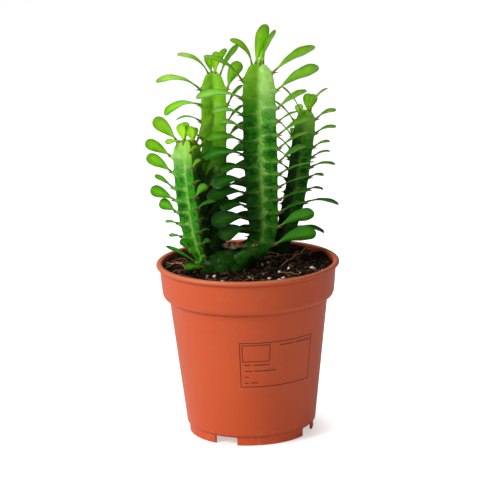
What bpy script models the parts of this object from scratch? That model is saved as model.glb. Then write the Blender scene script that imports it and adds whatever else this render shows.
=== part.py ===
"""A potted African milk tree: a moulded pot, its potting mix and ribbed stems with spines and leaves."""

import math
import random
from collections import namedtuple

import bmesh
import bpy
from mathutils import Matrix, Vector

MM = 0.001

# Pot, in metres
POT_HEIGHT = 0.1145
LIP_RADIUS = 0.060
LIP_DEPTH = 0.0030
COLLAR_TOP_RADIUS = 0.0579
COLLAR_FOOT_RADIUS = 0.0562
SHOULDER_HEIGHT = 0.0920
SHOULDER_DEPTH = 0.0022
BODY_TOP_RADIUS = 0.0520
BODY_FOOT_RADIUS = 0.0426
FOOT_RADIUS = 0.0411
FOOT_HEIGHT = 0.0062
WALL = 0.0016
FLOOR = 0.0018
POT_STEPS = 40
NOTCH_COUNT = 4
NOTCH_HEIGHT = 0.0054
NOTCH_SPAN = math.radians(22)
FIRST_NOTCH = math.radians(-24.5)
DRAIN_HOLES = 6
DRAIN_RADIUS = 0.0035
DRAIN_CIRCLE = 0.026

# Potting mix, in metres
GAP = 0.0003
MIX_LEVEL = 0.1100
MIX_RELIEF = 0.0012
MIX_RINGS = 5
HEAP_RADIUS = 0.0505
HEAP_SLOPE = 0.45
MIX_CLEARANCE = GAP + 0.0001
HOLE_FLOOR = 0.0957

# Stems: lengths in millimetres, turns in degrees, distances measured down the stem from its top
TOOTH_DEPTH = 0.13
GROOVE_SHARE = 0.40
FLANK_SHARE = 0.60
FLANK_TURN = 22
FOOT_RUN = 15
DOME_RING = 1.2
CLEAR_RUN = 3.5
BLADE_THICKNESS = 0.9
BLADE_FOLD = 0.22
PETIOLE_WIDTH = 1.5
ROOT_SUNK = 2.6
TUFT_SUNK = 1.0
CREST_SUNK = 0.9
SPINE_LENGTH = 3.2
SPINE_RADIUS = 0.5
SPINE_SPREAD = 36
SHORT_BLADE = 13

# Blade width along its length, as shares of the length and of the full width, ending at the tip
BLADE_STATIONS = [(0.0, 0.0), (0.22, 0.30), (0.48, 0.80), (0.72, 1.0), (0.91, 0.66)]
SHORT_BLADE_STATIONS = [(0.0, 0.0), (0.30, 0.40), (0.74, 1.0)]

Leaf = namedtuple("Leaf", "length rise width turn")
Shoot = namedtuple("Shoot", "x y heading droop leaf")
# marks: how far down the stem some teeth are, as (tooth, distance); lag: how far a rib is behind, in teeth
Stem = namedtuple("Stem", "route radii first_rib marks teeth ribs tuft seed")
Rib = namedtuple("Rib", "heading droop lag leaves reach", defaults=[None])

# The middle stem stands up from the trunk, with one groove facing the front
MIDDLE = Stem(
    route=[(9.8, -2, 244.5), (9.8, -2, 200), (10.3, -2, 160), (10.6, -2, 138), (7.6, -2, 127),
           (-1.5, -3, 118.6), (-10, -3, 111.5), (-14, -3, 98)],
    radii=[(0, 4.4), (1.2, 6.8), (5, 11.0), (14, 13.2), (60, 13.9), (85, 13.0), (100, 12.4), (117, 10.8),
           (128, 8.4), (160, 6.0)],
    first_rib=-30,
    marks=[(-1, -5), (0, 5.5), (2, 28.8), (6, 63.4), (11, 106), (12, 115), (16, 156)],
    teeth=13,
    ribs=[
        Rib(-12, 22, 0, [(31, 31, 10.5, 38), (30.5, 29, 10.5, 44), (22, 32, 7, 45), (14, 27, 5, 30),
                         (25, 28, 7, 30), (22, 29, 6.5, 30), (19.5, 32, 7, 42), (24, 20, 7, 20),
                         (19.5, 20, 6, 15), (21.5, 16, 6, 18), (19, 22, 6, 26), (24.5, 22, 10, 62),
                         (28.5, 18, 11.5, 62)]),
        Rib(90, 30, 0, [], reach=(24, 10)),
        Rib(-170, 52, 0.38, [(29, 33, 8, 18), (29, 1, 8.5, 26), (18, 5, 7, 26), (14, 14, 6, 30),
                             (22.5, 5, 8, 34), (25, -3, 8.5, 38), (14, -8, 7, 40), (20.5, -11, 9, 44),
                             (24.5, -7, 9.5, 50), (16.5, -3, 8, 48), (23, -2, 11, 62), (17, -12, 9.5, 55)]),
    ],
    tuft=[Shoot(-1.5, -1, 12, 8, Leaf(27, 74, 9.5, 75)), Shoot(1.2, -2, 4, 18, Leaf(24.5, 65, 6, 40)),
          Shoot(3.2, 1, 30, 10, Leaf(15.5, 77, 5, 40)), Shoot(-4.2, -2, 178, 72, Leaf(23, 51, 6, 30)),
          Shoot(1.4, 3, 60, 20, Leaf(14, 70, 5, 20))],
    seed=3,
)

# The front left stem leans out from the trunk, with one rib facing the front
FRONT_LEFT = Stem(
    route=[(-37, -3, 196.0), (-35.8, -3, 172), (-34, -3, 150), (-31.6, -3, 130), (-27, -3, 112),
           (-23, -3, 98)],
    radii=[(0, 4.0), (1.2, 8.0), (5, 11.0), (11, 12.0), (45, 12.5), (58, 12.0), (68, 10.0), (76, 7.5),
           (90, 6.0)],
    first_rib=-78,
    marks=[(-1, -9.5), (0, 1.0), (3, 32.0), (6, 55.6), (9, 81.5), (11, 99)],
    teeth=10,
    ribs=[
        Rib(-40, 20, 0.5, [(6, 40, 4, 20), (8.5, 43, 4, 20), (5, 20, 3, 10), (13, 43, 6, 55),
                           (16.5, 24, 5, 25), (6, 19, 3, 10), (9, 20, 4, 30), (8, 24, 5, 50)]),
        Rib(10, 20, 0.5, [(10, 46, 5, 40), (12, 44, 6, 50), (14, 52, 6.5, 52), (15, 40, 8, 60),
                          (13, 28, 7, 60), (15, 34, 8, 62), (13, 18, 7, 60), (12, 24, 7, 55),
                          (11, 14, 6, 50)]),
        Rib(176, 16, 0, [(20, 44, 9, 62), (19.5, 30, 8, 58), (20, 33, 8, 56), (14, 35, 5, 20),
                         (16.5, 24, 8, 60), (12, 32, 7.5, 66), (8, 8, 4, 14), (8.5, 6, 4, 24),
                         (8.5, 55, 5.5, 60), (21.5, 30, 5, 25)]),
    ],
    tuft=[Shoot(-2.6, -1, 150, 20, Leaf(12, 80, 7, 80)), Shoot(-1.4, 1, 50, 20, Leaf(12.5, 84, 6, -40)),
          Shoot(3.2, -2, 160, 30, Leaf(10, 76, 6.5, 80)), Shoot(4.2, 0, 20, 20, Leaf(9, 78, 5, 95)),
          Shoot(6.6, 2.6, 8, 20, Leaf(20, 56, 7.5, 60)), Shoot(-6, 0, 184, 20, Leaf(8.5, -4, 4.5, 40))],
    seed=5,
)

# The stem behind on the left stands upright in the mix
BACK_LEFT = Stem(
    route=[(-19.6, 26, 234.6), (-20, 26, 200), (-21, 26, 150), (-22, 26, 118), (-22, 26, 96)],
    radii=[(0, 4.2), (1.2, 6.2), (3.4, 7.8), (8.7, 10.4), (108, 10.4), (121, 7.0), (126, 6.6),
           (160, 6.6)],
    first_rib=-30,
    marks=[(-1, -2), (0, 10.2), (1, 20.8), (2, 31.6), (3, 42.2), (10, 118), (14, 158)],
    teeth=10,
    ribs=[
        Rib(-8, 25, 0, [(19, 63, 9, 65), (16, 52, 6, 30), (15, 44, 6, 30), (16, 38, 7, 35),
                        (19, 14, 9, 60), (19, 6, 9.5, 62), (18, 2, 9, 60), (19, -2, 9.5, 62),
                        (18, -2, 9, 60), (14, 6, 7, 50)]),
        Rib(90, 30, 0.5, [], reach=(26, 15)),
        Rib(-178, 70, 0, [(30, 10, 7, 16), (25, -16, 8, 24), (16, 4, 5, 12), (14, 6, 5, 10),
                          (12, 0, 5, 10)]),
    ],
    tuft=[Shoot(1.3, -1, 60, 20, Leaf(15, 80, 6, -30)), Shoot(1.5, 0, 10, 50, Leaf(18.5, 64, 5, 80)),
          Shoot(4.8, -1.8, 5, 25, Leaf(23, 57, 6.5, 45)), Shoot(-1, 2, 150, 20, Leaf(12, 70, 5, 30)),
          Shoot(-3, -1.6, 180, 72, Leaf(26, 34, 6, 14))],
    seed=8,
)

# The stem behind on the right leans out to the right
BACK_RIGHT = Stem(
    route=[(40.8, 37, 206.5), (37.4, 37.5, 184), (34.4, 38, 164), (31, 38, 146), (26, 37.5, 128),
           (22, 37, 115), (21.6, 37, 108), (21.6, 37, 96)],
    radii=[(0, 4.0), (1.2, 6.2), (5, 8.4), (14, 9.2), (73, 9.2), (85, 7.8), (92, 6.2), (97, 6.0),
           (125, 6.0)],
    first_rib=-20,
    marks=[(-1, -5), (0, 4.8), (2, 24), (5, 44.4), (9, 78.6), (13, 112), (15, 128)],
    teeth=10,
    ribs=[
        Rib(-4, 48, 0, [(14, 22, 5, 24), (14, 16, 5, 24), (11, 18, 4, 20), (12, 16, 5, 24),
                        (16, 4, 5, 24), (9, 4, 4, 20), (10, -2, 4, 20), (23.5, -6, 6, 24), None,
                        (18, -14, 5, 24)]),
        Rib(100, 30, 0.5, [], reach=(18, 10)),
        Rib(-165, 24, 0.35, [(19, 48, 5, 10), (18, 46, 5, 10), (15, 42, 5, 10), (13, 36, 5, 10),
                             (12, 30, 5, 10), (10, 20, 4, 10)]),
    ],
    tuft=[Shoot(1.2, 0, 60, 20, Leaf(12, 78, 7, -30)), Shoot(3.2, -1.2, 8, 62, Leaf(20, 52, 5.5, 30)),
          Shoot(2.4, -1, 30, 16, Leaf(12, 68, 6, -55)), Shoot(-3, -1, 194, 26, Leaf(22, 54, 5, 12))],
    seed=12,
)

# The trunk that both front stems grew from: an oval dome, in millimetres
TRUNK_CENTRE = (-16, -3)
TRUNK_HALF_SIZE = (16.8, 12.2)
TRUNK_PROFILE = [(96, 1.0), (108, 1.0), (112, 0.98), (115, 0.92), (118, 0.80), (120.3, 0.62),
                 (121.8, 0.36)]
TRUNK_STEPS = 20

# Leaves on the trunk: where each starts in millimetres, its heading, its form and its droop
DRIED_LEAF = ((4.2, -7.2, 125.2), 190, Leaf(21, 6, 5, 62), -12)
LOW_LEAF = ((-31, -9.8, 112.9), 190, Leaf(10.5, 2, 5.5, 40), 20)

# On a rib turned away from the front the leaves rise less towards the foot, and some teeth are bare
HIDDEN_RISE = (38, 5)
HIDDEN_SHARE = 0.7


def clear_scene():
    for obj in list(bpy.data.objects):
        bpy.data.objects.remove(obj, do_unlink=True)


def new_collection(name):
    collection = bpy.data.collections.new(name)
    bpy.context.scene.collection.children.link(collection)
    return collection


def new_material(name, colour, roughness):
    material = bpy.data.materials.new(name)
    material.use_nodes = True
    shader = material.node_tree.nodes["Principled BSDF"]
    shader.inputs["Base Color"].default_value = (*colour, 1)
    shader.inputs["Roughness"].default_value = roughness
    shader.inputs["Metallic"].default_value = 0
    return material


def object_from(name, solid, collection, material=None):
    """Turns a bmesh into an object of this collection."""
    bmesh.ops.recalc_face_normals(solid, faces=solid.faces)
    mesh = bpy.data.meshes.new(name)
    solid.to_mesh(mesh)
    solid.free()
    obj = bpy.data.objects.new(name, mesh)
    collection.objects.link(obj)
    if material:
        mesh.materials.append(material)
    return obj


def as_cutter(obj):
    obj.hide_render = True
    obj.display_type = "WIRE"
    return obj


def value_at(keys, place):
    """The value at this place on a line through (place, value) keys."""
    for (start, first), (end, last) in zip(keys, keys[1:]):
        if place <= end:
            return first + (last - first) * max(0, place - start) / (end - start)
    return keys[-1][1]


def close_end(solid, ring, tip):
    """Closes a ring of vertices with a flat face, or with a fan to a tip."""
    if tip is None:
        solid.faces.new(ring)
        return
    point = solid.verts.new(Vector(tip) * MM)
    for i, vertex in enumerate(ring):
        solid.faces.new((ring[i - 1], vertex, point))


def loft(rings, tip=None, first_tip=None):
    """A closed bmesh through rings of equally many points, each end flat or drawn to a tip."""
    solid = bmesh.new()
    rows = [[solid.verts.new(Vector(point) * MM) for point in ring] for ring in rings]
    for low, high in zip(rows, rows[1:]):
        for i, vertex in enumerate(low):
            solid.faces.new((low[i - 1], vertex, high[i], high[i - 1]))
    close_end(solid, rows[0], first_tip)
    close_end(solid, rows[-1], tip)
    return solid


def direction(heading, rise):
    """The unit vector at this heading round Z and this rise above the level, both in degrees."""
    flat = math.cos(math.radians(rise))
    angle = math.radians(heading)
    return Vector((flat * math.cos(angle), flat * math.sin(angle), math.sin(math.radians(rise))))


def route_points(route, count=48):
    """A smooth curve through the route's points."""
    points = [Vector(point) for point in route]
    points = [2 * points[0] - points[1], *points, 2 * points[-1] - points[-2]]
    curve = []
    for i in range(1, len(points) - 2):
        before, start, end, after = points[i - 1:i + 3]
        for step in range(count):
            t = step / count
            curve.append(0.5 * (2 * start + (end - before) * t
                                + (2 * before - 5 * start + 4 * end - after) * t ** 2
                                + (3 * start - before - 3 * end + after) * t ** 3))
    curve.append(points[-2])
    return curve


def frame_at(curve, distance):
    """The point this far down the curve, with the stem's own side, front and upward directions there."""
    travelled = 0
    for start, end in zip(curve, curve[1:]):
        step = (end - start).length
        if travelled + step >= distance:
            break
        travelled += step
    up = (start - end).normalized()
    side = Vector((0, 1, 0)).cross(up).normalized()
    return start + (end - start) * min(1, (distance - travelled) / step), side, up.cross(side), up


def curve_length(curve):
    return sum((end - start).length for start, end in zip(curve, curve[1:]))


def tooth_distance(stem, rib, tooth):
    """How far down the stem this tooth is, on a rib whose teeth may lag behind the others."""
    return value_at(stem.marks, tooth + stem.ribs[rib].lag)


def tooth_number(stem, distance):
    """The tooth that stands this far down the first rib, as a number with a share."""
    return value_at([(place, number) for number, place in stem.marks], distance)


def rib_radius(stem, rib, distance):
    """The crest radius, which swells at each tooth and is plain beyond the last one."""
    phase = tooth_number(stem, distance) - stem.ribs[rib].lag
    swell = (0.5 + 0.5 * math.cos(2 * math.pi * phase)) ** 2
    if not -0.5 < phase < stem.teeth:
        swell = 0.5
    return value_at(stem.radii, distance) * (1 + TOOTH_DEPTH * (swell - 0.5))


def roundness(stem, distance):
    """Zero on the ribbed length and one on the round woody foot, past the last tooth."""
    last = tooth_distance(stem, 0, stem.teeth - 1)
    return min(1, max(0, (distance - last) / FOOT_RUN))


def stem_ring(stem, curve, distance):
    """The stem's three-winged outline at this distance from its top."""
    centre, side, front, _ = frame_at(curve, distance)
    foot = roundness(stem, distance)
    plain = value_at(stem.radii, distance)
    ring = []
    for rib in range(3):
        crest = rib_radius(stem, rib, distance)
        corners = [(0, crest), (FLANK_TURN, plain * FLANK_SHARE), (60, plain * GROOVE_SHARE),
                   (120 - FLANK_TURN, plain * FLANK_SHARE)]
        for turn, radius in corners:
            angle = math.radians(stem.first_rib + 120 * rib + turn)
            reach = radius + (plain - radius) * foot
            ring.append(centre + reach * (side * math.cos(angle) + front * math.sin(angle)))
    return ring


def stem_solid(stem, curve):
    """The stem through rings at its top and foot, on each tooth and midway between teeth."""
    length = curve_length(curve)
    halves = [value_at(stem.marks, 0.5 * i) for i in range(2 * stem.marks[-1][0])]
    distances = [0, DOME_RING, *(half for half in halves if CLEAR_RUN < half < length - CLEAR_RUN), length]
    return loft([stem_ring(stem, curve, distance) for distance in distances])


def leaf_solid(root, heading, leaf, droop):
    """A blade from its root outwards: it arches down along its length and its two halves fold up a little."""
    flat = direction(heading + 90, 0)
    point = root
    last = 0
    rings = []
    for share, width_share in SHORT_BLADE_STATIONS if leaf.length < SHORT_BLADE else BLADE_STATIONS:
        arch = leaf.rise + droop * (0.5 - (share + last) / 2)
        point = point + direction(heading, arch) * (share - last) * leaf.length
        last = share
        ahead = direction(heading, leaf.rise + droop * (0.5 - share))
        across = Matrix.Rotation(math.radians(-leaf.turn), 3, ahead) @ flat
        half = 0.5 * max(PETIOLE_WIDTH, leaf.width * width_share)
        place = root - ahead * ROOT_SUNK if share == 0 else point
        rings.append(blade_ring(place, across, ahead.cross(across), half))
    tip = point + direction(heading, leaf.rise - 0.5 * droop * last) * (1 - last) * leaf.length
    return loft(rings, tip)


def blade_ring(point, across, above, half):
    fold = BLADE_FOLD * half
    thick = 0.5 * BLADE_THICKNESS
    return [point + across * half + above * fold, point + above * thick,
            point - across * half + above * fold, point - above * thick]


def spine_pair(crest, facing, rise):
    """Two thin spikes that spread from one ring of points sunk in the tooth."""
    outward = direction(facing, 0)
    ring = []
    for i in range(3):
        angle = 2 * math.pi * i / 3
        ring.append(crest + SPINE_RADIUS * (outward * math.cos(angle) + Vector((0, 0, math.sin(angle)))))
    left, right = (crest + direction(facing + side * SPINE_SPREAD, rise) * SPINE_LENGTH for side in (1, -1))
    return loft([ring], left, right)


def between(ends, share):
    return ends[0] + (ends[1] - ends[0]) * share


def hidden_leaf(reach, share, draws):
    """A leaf for a rib turned away from the front, or None where the tooth is bare."""
    if draws.random() > HIDDEN_SHARE:
        return None
    length = between(reach, share) * draws.uniform(0.75, 1.0)
    rise = between(HIDDEN_RISE, share) + draws.uniform(-8, 8)
    return Leaf(length, rise, 2 + 0.26 * length, draws.uniform(-15, 15))


def rib_leaves(stem, rib, draws):
    """The leaf at each tooth of this rib, with None where a tooth is bare."""
    chosen = [sizes and Leaf(*sizes) for sizes in stem.ribs[rib].leaves]
    if chosen:
        return chosen + [None] * (stem.teeth - len(chosen))
    return [hidden_leaf(stem.ribs[rib].reach, tooth / stem.teeth, draws) for tooth in range(stem.teeth)]


def grow_stem(name, stem, pieces):
    """Adds the stem, its spines and its leaves to the collection of pieces."""
    draws = random.Random(stem.seed)
    curve = route_points(stem.route)
    object_from(name, stem_solid(stem, curve), pieces)
    for rib, way in enumerate(stem.ribs):
        facing = stem.first_rib + 120 * rib
        for tooth, leaf in enumerate(rib_leaves(stem, rib, draws)):
            distance = tooth_distance(stem, rib, tooth)
            centre, side, front, up = frame_at(curve, distance)
            angle = math.radians(facing)
            outward = side * math.cos(angle) + front * math.sin(angle)
            crest = centre + outward * (rib_radius(stem, rib, distance) - CREST_SUNK)
            object_from("spines", spine_pair(crest, facing, draws.uniform(-12, 14)), pieces)
            if leaf:
                root = crest + up * 0.9
                heading = way.heading + draws.uniform(-4, 4)
                object_from("leaf", leaf_solid(root, heading, leaf, way.droop), pieces)
    top = Vector(stem.route[0])
    for shoot in stem.tuft:
        root = top + Vector((shoot.x, shoot.y, -TUFT_SUNK))
        object_from("leaf", leaf_solid(root, shoot.heading, shoot.leaf, shoot.droop), pieces)


def grow_trunk(pieces):
    rings = []
    for height, share in TRUNK_PROFILE:
        ring = []
        for i in range(TRUNK_STEPS):
            angle = 2 * math.pi * i / TRUNK_STEPS
            ring.append((TRUNK_CENTRE[0] + share * TRUNK_HALF_SIZE[0] * math.cos(angle),
                         TRUNK_CENTRE[1] + share * TRUNK_HALF_SIZE[1] * math.sin(angle), height))
        rings.append(ring)
    object_from("trunk", loft(rings), pieces)
    for name, (start, *form) in (("dried leaf", DRIED_LEAF), ("low leaf", LOW_LEAF)):
        object_from(name, leaf_solid(Vector(start), *form), pieces)


def join_pieces(name, pieces, parts, material):
    """One solid from all the pieces of a plant, which are then removed."""
    first = pieces.objects[0]
    pieces.objects.unlink(first)
    parts.objects.link(first)
    union = first.modifiers.new("join", "BOOLEAN")
    union.operation = "UNION"
    union.operand_type = "COLLECTION"
    union.collection = pieces
    union.solver = "MANIFOLD"
    graph = bpy.context.evaluated_depsgraph_get()
    joined = bpy.data.meshes.new_from_object(first.evaluated_get(graph))
    joined.name = name
    joined.materials.clear()
    joined.materials.append(material)
    plant = bpy.data.objects.new(name, joined)
    parts.objects.link(plant)
    for obj in [first, *pieces.objects]:
        bpy.data.objects.remove(obj, do_unlink=True)
    bpy.data.collections.remove(pieces)
    return plant


def plant_node(name, stems, parts, material, trunk=False):
    pieces = new_collection(name + " pieces")
    if trunk:
        grow_trunk(pieces)
    for number, stem in enumerate(stems):
        grow_stem(f"{name} {number}", stem, pieces)
    return join_pieces(name, pieces, parts, material)


def wall_radius(height):
    """The pot's outer radius on the straight walls of its body and collar."""
    if height < SHOULDER_HEIGHT:
        share = (height - FOOT_HEIGHT) / (SHOULDER_HEIGHT - FOOT_HEIGHT)
        return BODY_FOOT_RADIUS + share * (BODY_TOP_RADIUS - BODY_FOOT_RADIUS)
    share = (height - SHOULDER_HEIGHT) / (POT_HEIGHT - LIP_DEPTH - SHOULDER_HEIGHT)
    return COLLAR_FOOT_RADIUS + share * (COLLAR_TOP_RADIUS - COLLAR_FOOT_RADIUS)


def inner_wall():
    """The pot's inner wall as (height, radius) keys, from its floor to its lip."""
    floor_top = FOOT_HEIGHT + FLOOR
    shoulder_top = SHOULDER_HEIGHT + SHOULDER_DEPTH
    return [(floor_top, wall_radius(floor_top) - WALL),
            (SHOULDER_HEIGHT + 0.0005, BODY_TOP_RADIUS - WALL),
            (shoulder_top + 0.0014, wall_radius(shoulder_top) - WALL),
            (POT_HEIGHT - 0.0006, COLLAR_TOP_RADIUS - WALL)]


def pot_profile():
    """Half of the pot's section: over the floor, up the inside, over the lip and down the outside."""
    shoulder_top = SHOULDER_HEIGHT + SHOULDER_DEPTH
    lip_foot = POT_HEIGHT - LIP_DEPTH
    inner = [(0, FOOT_HEIGHT + FLOOR)] + [(radius, height) for height, radius in inner_wall()]
    lip = [(COLLAR_TOP_RADIUS - 0.0008, POT_HEIGHT), (LIP_RADIUS - 0.0010, POT_HEIGHT),
           (LIP_RADIUS, POT_HEIGHT - 0.0009), (LIP_RADIUS, lip_foot + 0.0008),
           (LIP_RADIUS - 0.0008, lip_foot), (COLLAR_TOP_RADIUS, lip_foot)]
    collar_foot = wall_radius(shoulder_top)
    shoulder = [(collar_foot, shoulder_top), (collar_foot - 0.0009, SHOULDER_HEIGHT),
                (BODY_TOP_RADIUS + 0.0012, SHOULDER_HEIGHT - 0.0009),
                (BODY_TOP_RADIUS, SHOULDER_HEIGHT - 0.0016)]
    foot = [(BODY_FOOT_RADIUS, FOOT_HEIGHT + 0.0004), (FOOT_RADIUS, FOOT_HEIGHT - 0.0002), (FOOT_RADIUS, 0),
            (FOOT_RADIUS - WALL, 0), (FOOT_RADIUS - WALL, FOOT_HEIGHT), (0, FOOT_HEIGHT)]
    return inner + lip + shoulder + foot


def turned(name, profile, steps, collection, material=None):
    """A solid turned round Z from half of its section."""
    mesh = bpy.data.meshes.new(name)
    points = [(radius, 0, height) for radius, height in profile]
    mesh.from_pydata(points, [(i, i + 1) for i in range(len(points) - 1)], [])
    obj = bpy.data.objects.new(name, mesh)
    collection.objects.link(obj)
    screw = obj.modifiers.new("turn", "SCREW")
    screw.steps = steps
    screw.render_steps = steps
    screw.use_merge_vertices = True
    screw.merge_threshold = 0.00001
    if material:
        mesh.materials.append(material)
    return obj


def cylinder(name, radius, low, high, collection, place=(0, 0), stretch=(1, 1), turn=0, sides=20):
    solid = bmesh.new()
    bmesh.ops.create_cone(solid, cap_ends=True, segments=sides, radius1=radius, radius2=radius,
                          depth=high - low)
    spread = Matrix.Diagonal((stretch[0], stretch[1], 1, 1))
    shift = Matrix.Translation((place[0], place[1], (low + high) / 2))
    bmesh.ops.transform(solid, matrix=shift @ Matrix.Rotation(turn, 4, "Z") @ spread, verts=solid.verts)
    return object_from(name, solid, collection)


def cut(obj, cutters):
    for cutter in cutters:
        as_cutter(cutter)
        hole = obj.modifiers.new(cutter.name, "BOOLEAN")
        hole.operation = "DIFFERENCE"
        hole.object = cutter
        hole.solver = "EXACT"


def notch_cutter(index, collection):
    """A wedge that crosses the foot ring."""
    middle = math.radians(-90) + FIRST_NOTCH + index * 2 * math.pi / NOTCH_COUNT
    rings = []
    for height in (-1.0, NOTCH_HEIGHT / MM):
        corners = []
        for radius, side in ((34, -1), (46, -1), (46, 1), (34, 1)):
            angle = middle + side * NOTCH_SPAN / 2
            corners.append((radius * math.cos(angle), radius * math.sin(angle), height))
        rings.append(corners)
    return object_from(f"notch {index}", loft(rings), collection)


def make_pot(parts, cutters, material):
    pot = turned("pot", pot_profile(), POT_STEPS, parts, material)
    holes = [notch_cutter(i, cutters) for i in range(NOTCH_COUNT)]
    for i in range(DRAIN_HOLES):
        angle = 2 * math.pi * (i + 0.5) / DRAIN_HOLES
        place = (DRAIN_CIRCLE * math.cos(angle), DRAIN_CIRCLE * math.sin(angle))
        holes.append(cylinder(f"drain {i}", DRAIN_RADIUS, FOOT_HEIGHT - 0.003, FOOT_HEIGHT + FLOOR + 0.003,
                              cutters, place, sides=12))
    cut(pot, holes)
    return pot


def mix_relief(x, y):
    """Lumps and hollows of the mix: it lies a little higher behind the middle and heaps up at the wall."""
    wave = math.sin(210 * x + 1.3) * math.cos(170 * y - 0.4) + 0.6 * math.sin(330 * y + 260 * x)
    heap = HEAP_SLOPE * max(0, math.hypot(x, y) - HEAP_RADIUS) * (0.6 + 7 * y)
    return MIX_RELIEF * wave * 0.6 + 0.018 * y + heap


def make_mix(parts, cutters, material):
    """The potting mix: it fills the pot up to a lumpy surface, with a plain hole for each rooted stem."""
    keys = inner_wall()
    walls = [keys[0][0] + GAP, keys[1][0], keys[2][0]]
    edge = value_at(keys, MIX_LEVEL) - MIX_CLEARANCE
    solid = bmesh.new()
    rows = [(value_at(keys, height) - MIX_CLEARANCE, height, False) for height in walls]
    rows += [(edge, MIX_LEVEL, True), (HEAP_RADIUS, MIX_LEVEL, True)]
    rows += [(edge * (1 - ring / MIX_RINGS), MIX_LEVEL, True) for ring in range(1, MIX_RINGS)]
    made = []
    for radius, height, lumpy in rows:
        line = []
        for i in range(POT_STEPS):
            angle = 2 * math.pi * i / POT_STEPS
            x = radius * math.cos(angle)
            y = radius * math.sin(angle)
            line.append(solid.verts.new((x, y, height + (mix_relief(x, y) if lumpy else 0))))
        made.append(line)
    for low, high in zip(made, made[1:]):
        for i in range(POT_STEPS):
            solid.faces.new((low[i - 1], low[i], high[i], high[i - 1]))
    solid.faces.new(made[0])
    middle = solid.verts.new((0, 0, MIX_LEVEL + mix_relief(0, 0)))
    for i in range(POT_STEPS):
        solid.faces.new((made[-1][i - 1], made[-1][i], middle))
    mix = object_from("soil", solid, parts, material)
    holes = []
    for name, stem in (("back left", BACK_LEFT), ("back right", BACK_RIGHT)):
        x, y, _ = stem.route[-1]
        radius = stem.radii[-1][1] * MM + 3 * GAP
        holes.append(cylinder(f"hole {name}", radius, HOLE_FLOOR, MIX_LEVEL + 0.02, cutters,
                              (x * MM, y * MM)))
    trunk_x, trunk_y = TRUNK_CENTRE
    half_x, half_y = TRUNK_HALF_SIZE
    holes.append(cylinder("hole trunk", 1, HOLE_FLOOR, MIX_LEVEL + 0.02, cutters,
                          (trunk_x * MM, trunk_y * MM), (half_x * MM + 3 * GAP, half_y * MM + 3 * GAP),
                          sides=28))
    cut(mix, holes)
    return mix


def main():
    clear_scene()
    parts = new_collection("potted african milk tree")
    cutters = new_collection("cutters")
    cutters.hide_render = True
    terracotta = new_material("terracotta plastic", (0.60, 0.13, 0.045), 0.42)
    peat = new_material("dark peat", (0.012, 0.008, 0.006), 0.95)
    green = new_material("green stems and leaves", (0.09, 0.30, 0.03), 0.5)
    make_pot(parts, cutters, terracotta)
    make_mix(parts, cutters, peat)
    plant_node("stems_front", [MIDDLE, FRONT_LEFT], parts, green, trunk=True)
    plant_node("stem_back_left", [BACK_LEFT], parts, green)
    plant_node("stem_back_right", [BACK_RIGHT], parts, green)


main()
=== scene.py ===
"""Dresses a potted African milk tree: ribbed skin, fleshy leaves, thorns, potting mix and a moulded pot."""

import math
import random
from collections import namedtuple

import bmesh
import bpy
from mathutils import Matrix, Vector, noise


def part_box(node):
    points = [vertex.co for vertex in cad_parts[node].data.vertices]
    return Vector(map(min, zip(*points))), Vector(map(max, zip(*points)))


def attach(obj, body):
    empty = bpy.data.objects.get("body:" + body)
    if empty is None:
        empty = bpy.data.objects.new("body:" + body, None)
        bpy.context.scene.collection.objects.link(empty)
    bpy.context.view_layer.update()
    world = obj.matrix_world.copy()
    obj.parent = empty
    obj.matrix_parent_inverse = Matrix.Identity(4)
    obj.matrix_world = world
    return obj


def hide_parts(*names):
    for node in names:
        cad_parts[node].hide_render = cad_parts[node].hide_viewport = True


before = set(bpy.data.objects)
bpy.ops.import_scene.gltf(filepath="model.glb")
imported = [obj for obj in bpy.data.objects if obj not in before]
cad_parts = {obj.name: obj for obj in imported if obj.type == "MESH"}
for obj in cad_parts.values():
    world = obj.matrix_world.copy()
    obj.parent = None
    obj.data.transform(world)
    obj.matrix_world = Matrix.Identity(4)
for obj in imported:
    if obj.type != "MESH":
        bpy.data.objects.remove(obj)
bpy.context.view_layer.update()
POT_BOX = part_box("pot")

bl_info = {
    "name": "Potted African Milk Tree",
    "version": (1, 0, 0),
    "blender": (4, 5, 0),
    "location": "View3D > Sidebar > Milk Tree",
    "description": "Makes the skin, leaves, thorns, potting mix and pot of a potted African milk tree",
    "category": "Object",
}

MM = 0.001
BODY = "root"

# Camera, lamps and floor, in metres and degrees
LENS = 153.65
SENSOR = 36
SHIFT = (0.0044, 0.0328)
ROLL = -1.4
AIM_HEIGHT = 0.110
# Each lamp: its name, place, power setting, share of that power and size
LAMPS = (("key lamp", (-1.05, -0.62, 0.90), "key", 1.0, 0.60),
         ("fill lamp", (0.35, -1.15, 0.55), "fill", 1.0, 0.90),
         ("top lamp", (-0.10, 0.55, 1.15), "key", 0.30, 0.80))
LAMP_AIM = Vector((0, 0, 0.12))
SKY_SEEN = 1.05
FLOOR_REACH = 6
# Where the floor's painted shadow round the pot fades out
SHADOW_FADE = (0.036, 0.066)

# Pot section, in metres, and turns in degrees
POT_HEIGHT = POT_BOX[1][2]
LIP_RADIUS = POT_BOX[1][0]
LIP_DEPTH = 0.0030
COLLAR_TOP_RADIUS = 0.0579
COLLAR_FOOT_RADIUS = 0.0562
SHOULDER_HEIGHT = 0.0920
SHOULDER_TOP = 0.0942
BODY_TOP_RADIUS = 0.0520
BODY_FOOT_RADIUS = 0.0426
FOOT_RADIUS = 0.0411
FOOT_HEIGHT = 0.0062
WALL = 0.0016
FLOOR = 0.0018
NOTCH_HEIGHT = 0.0054
NOTCH_SPAN = 22
NOTCH_HEADINGS = (-114.5, -24.5, 65.5, 155.5)
NOTCH_REACH = (0.034, 0.046)
NOTCH_CORNER = (1.6, 0.0012)
NOTCH_STEPS = 6
DRAIN_HOLES = 6
DRAIN_RADIUS = 0.0035
DRAIN_CIRCLE = 0.026
DRAIN_SIDES = 32
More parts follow.
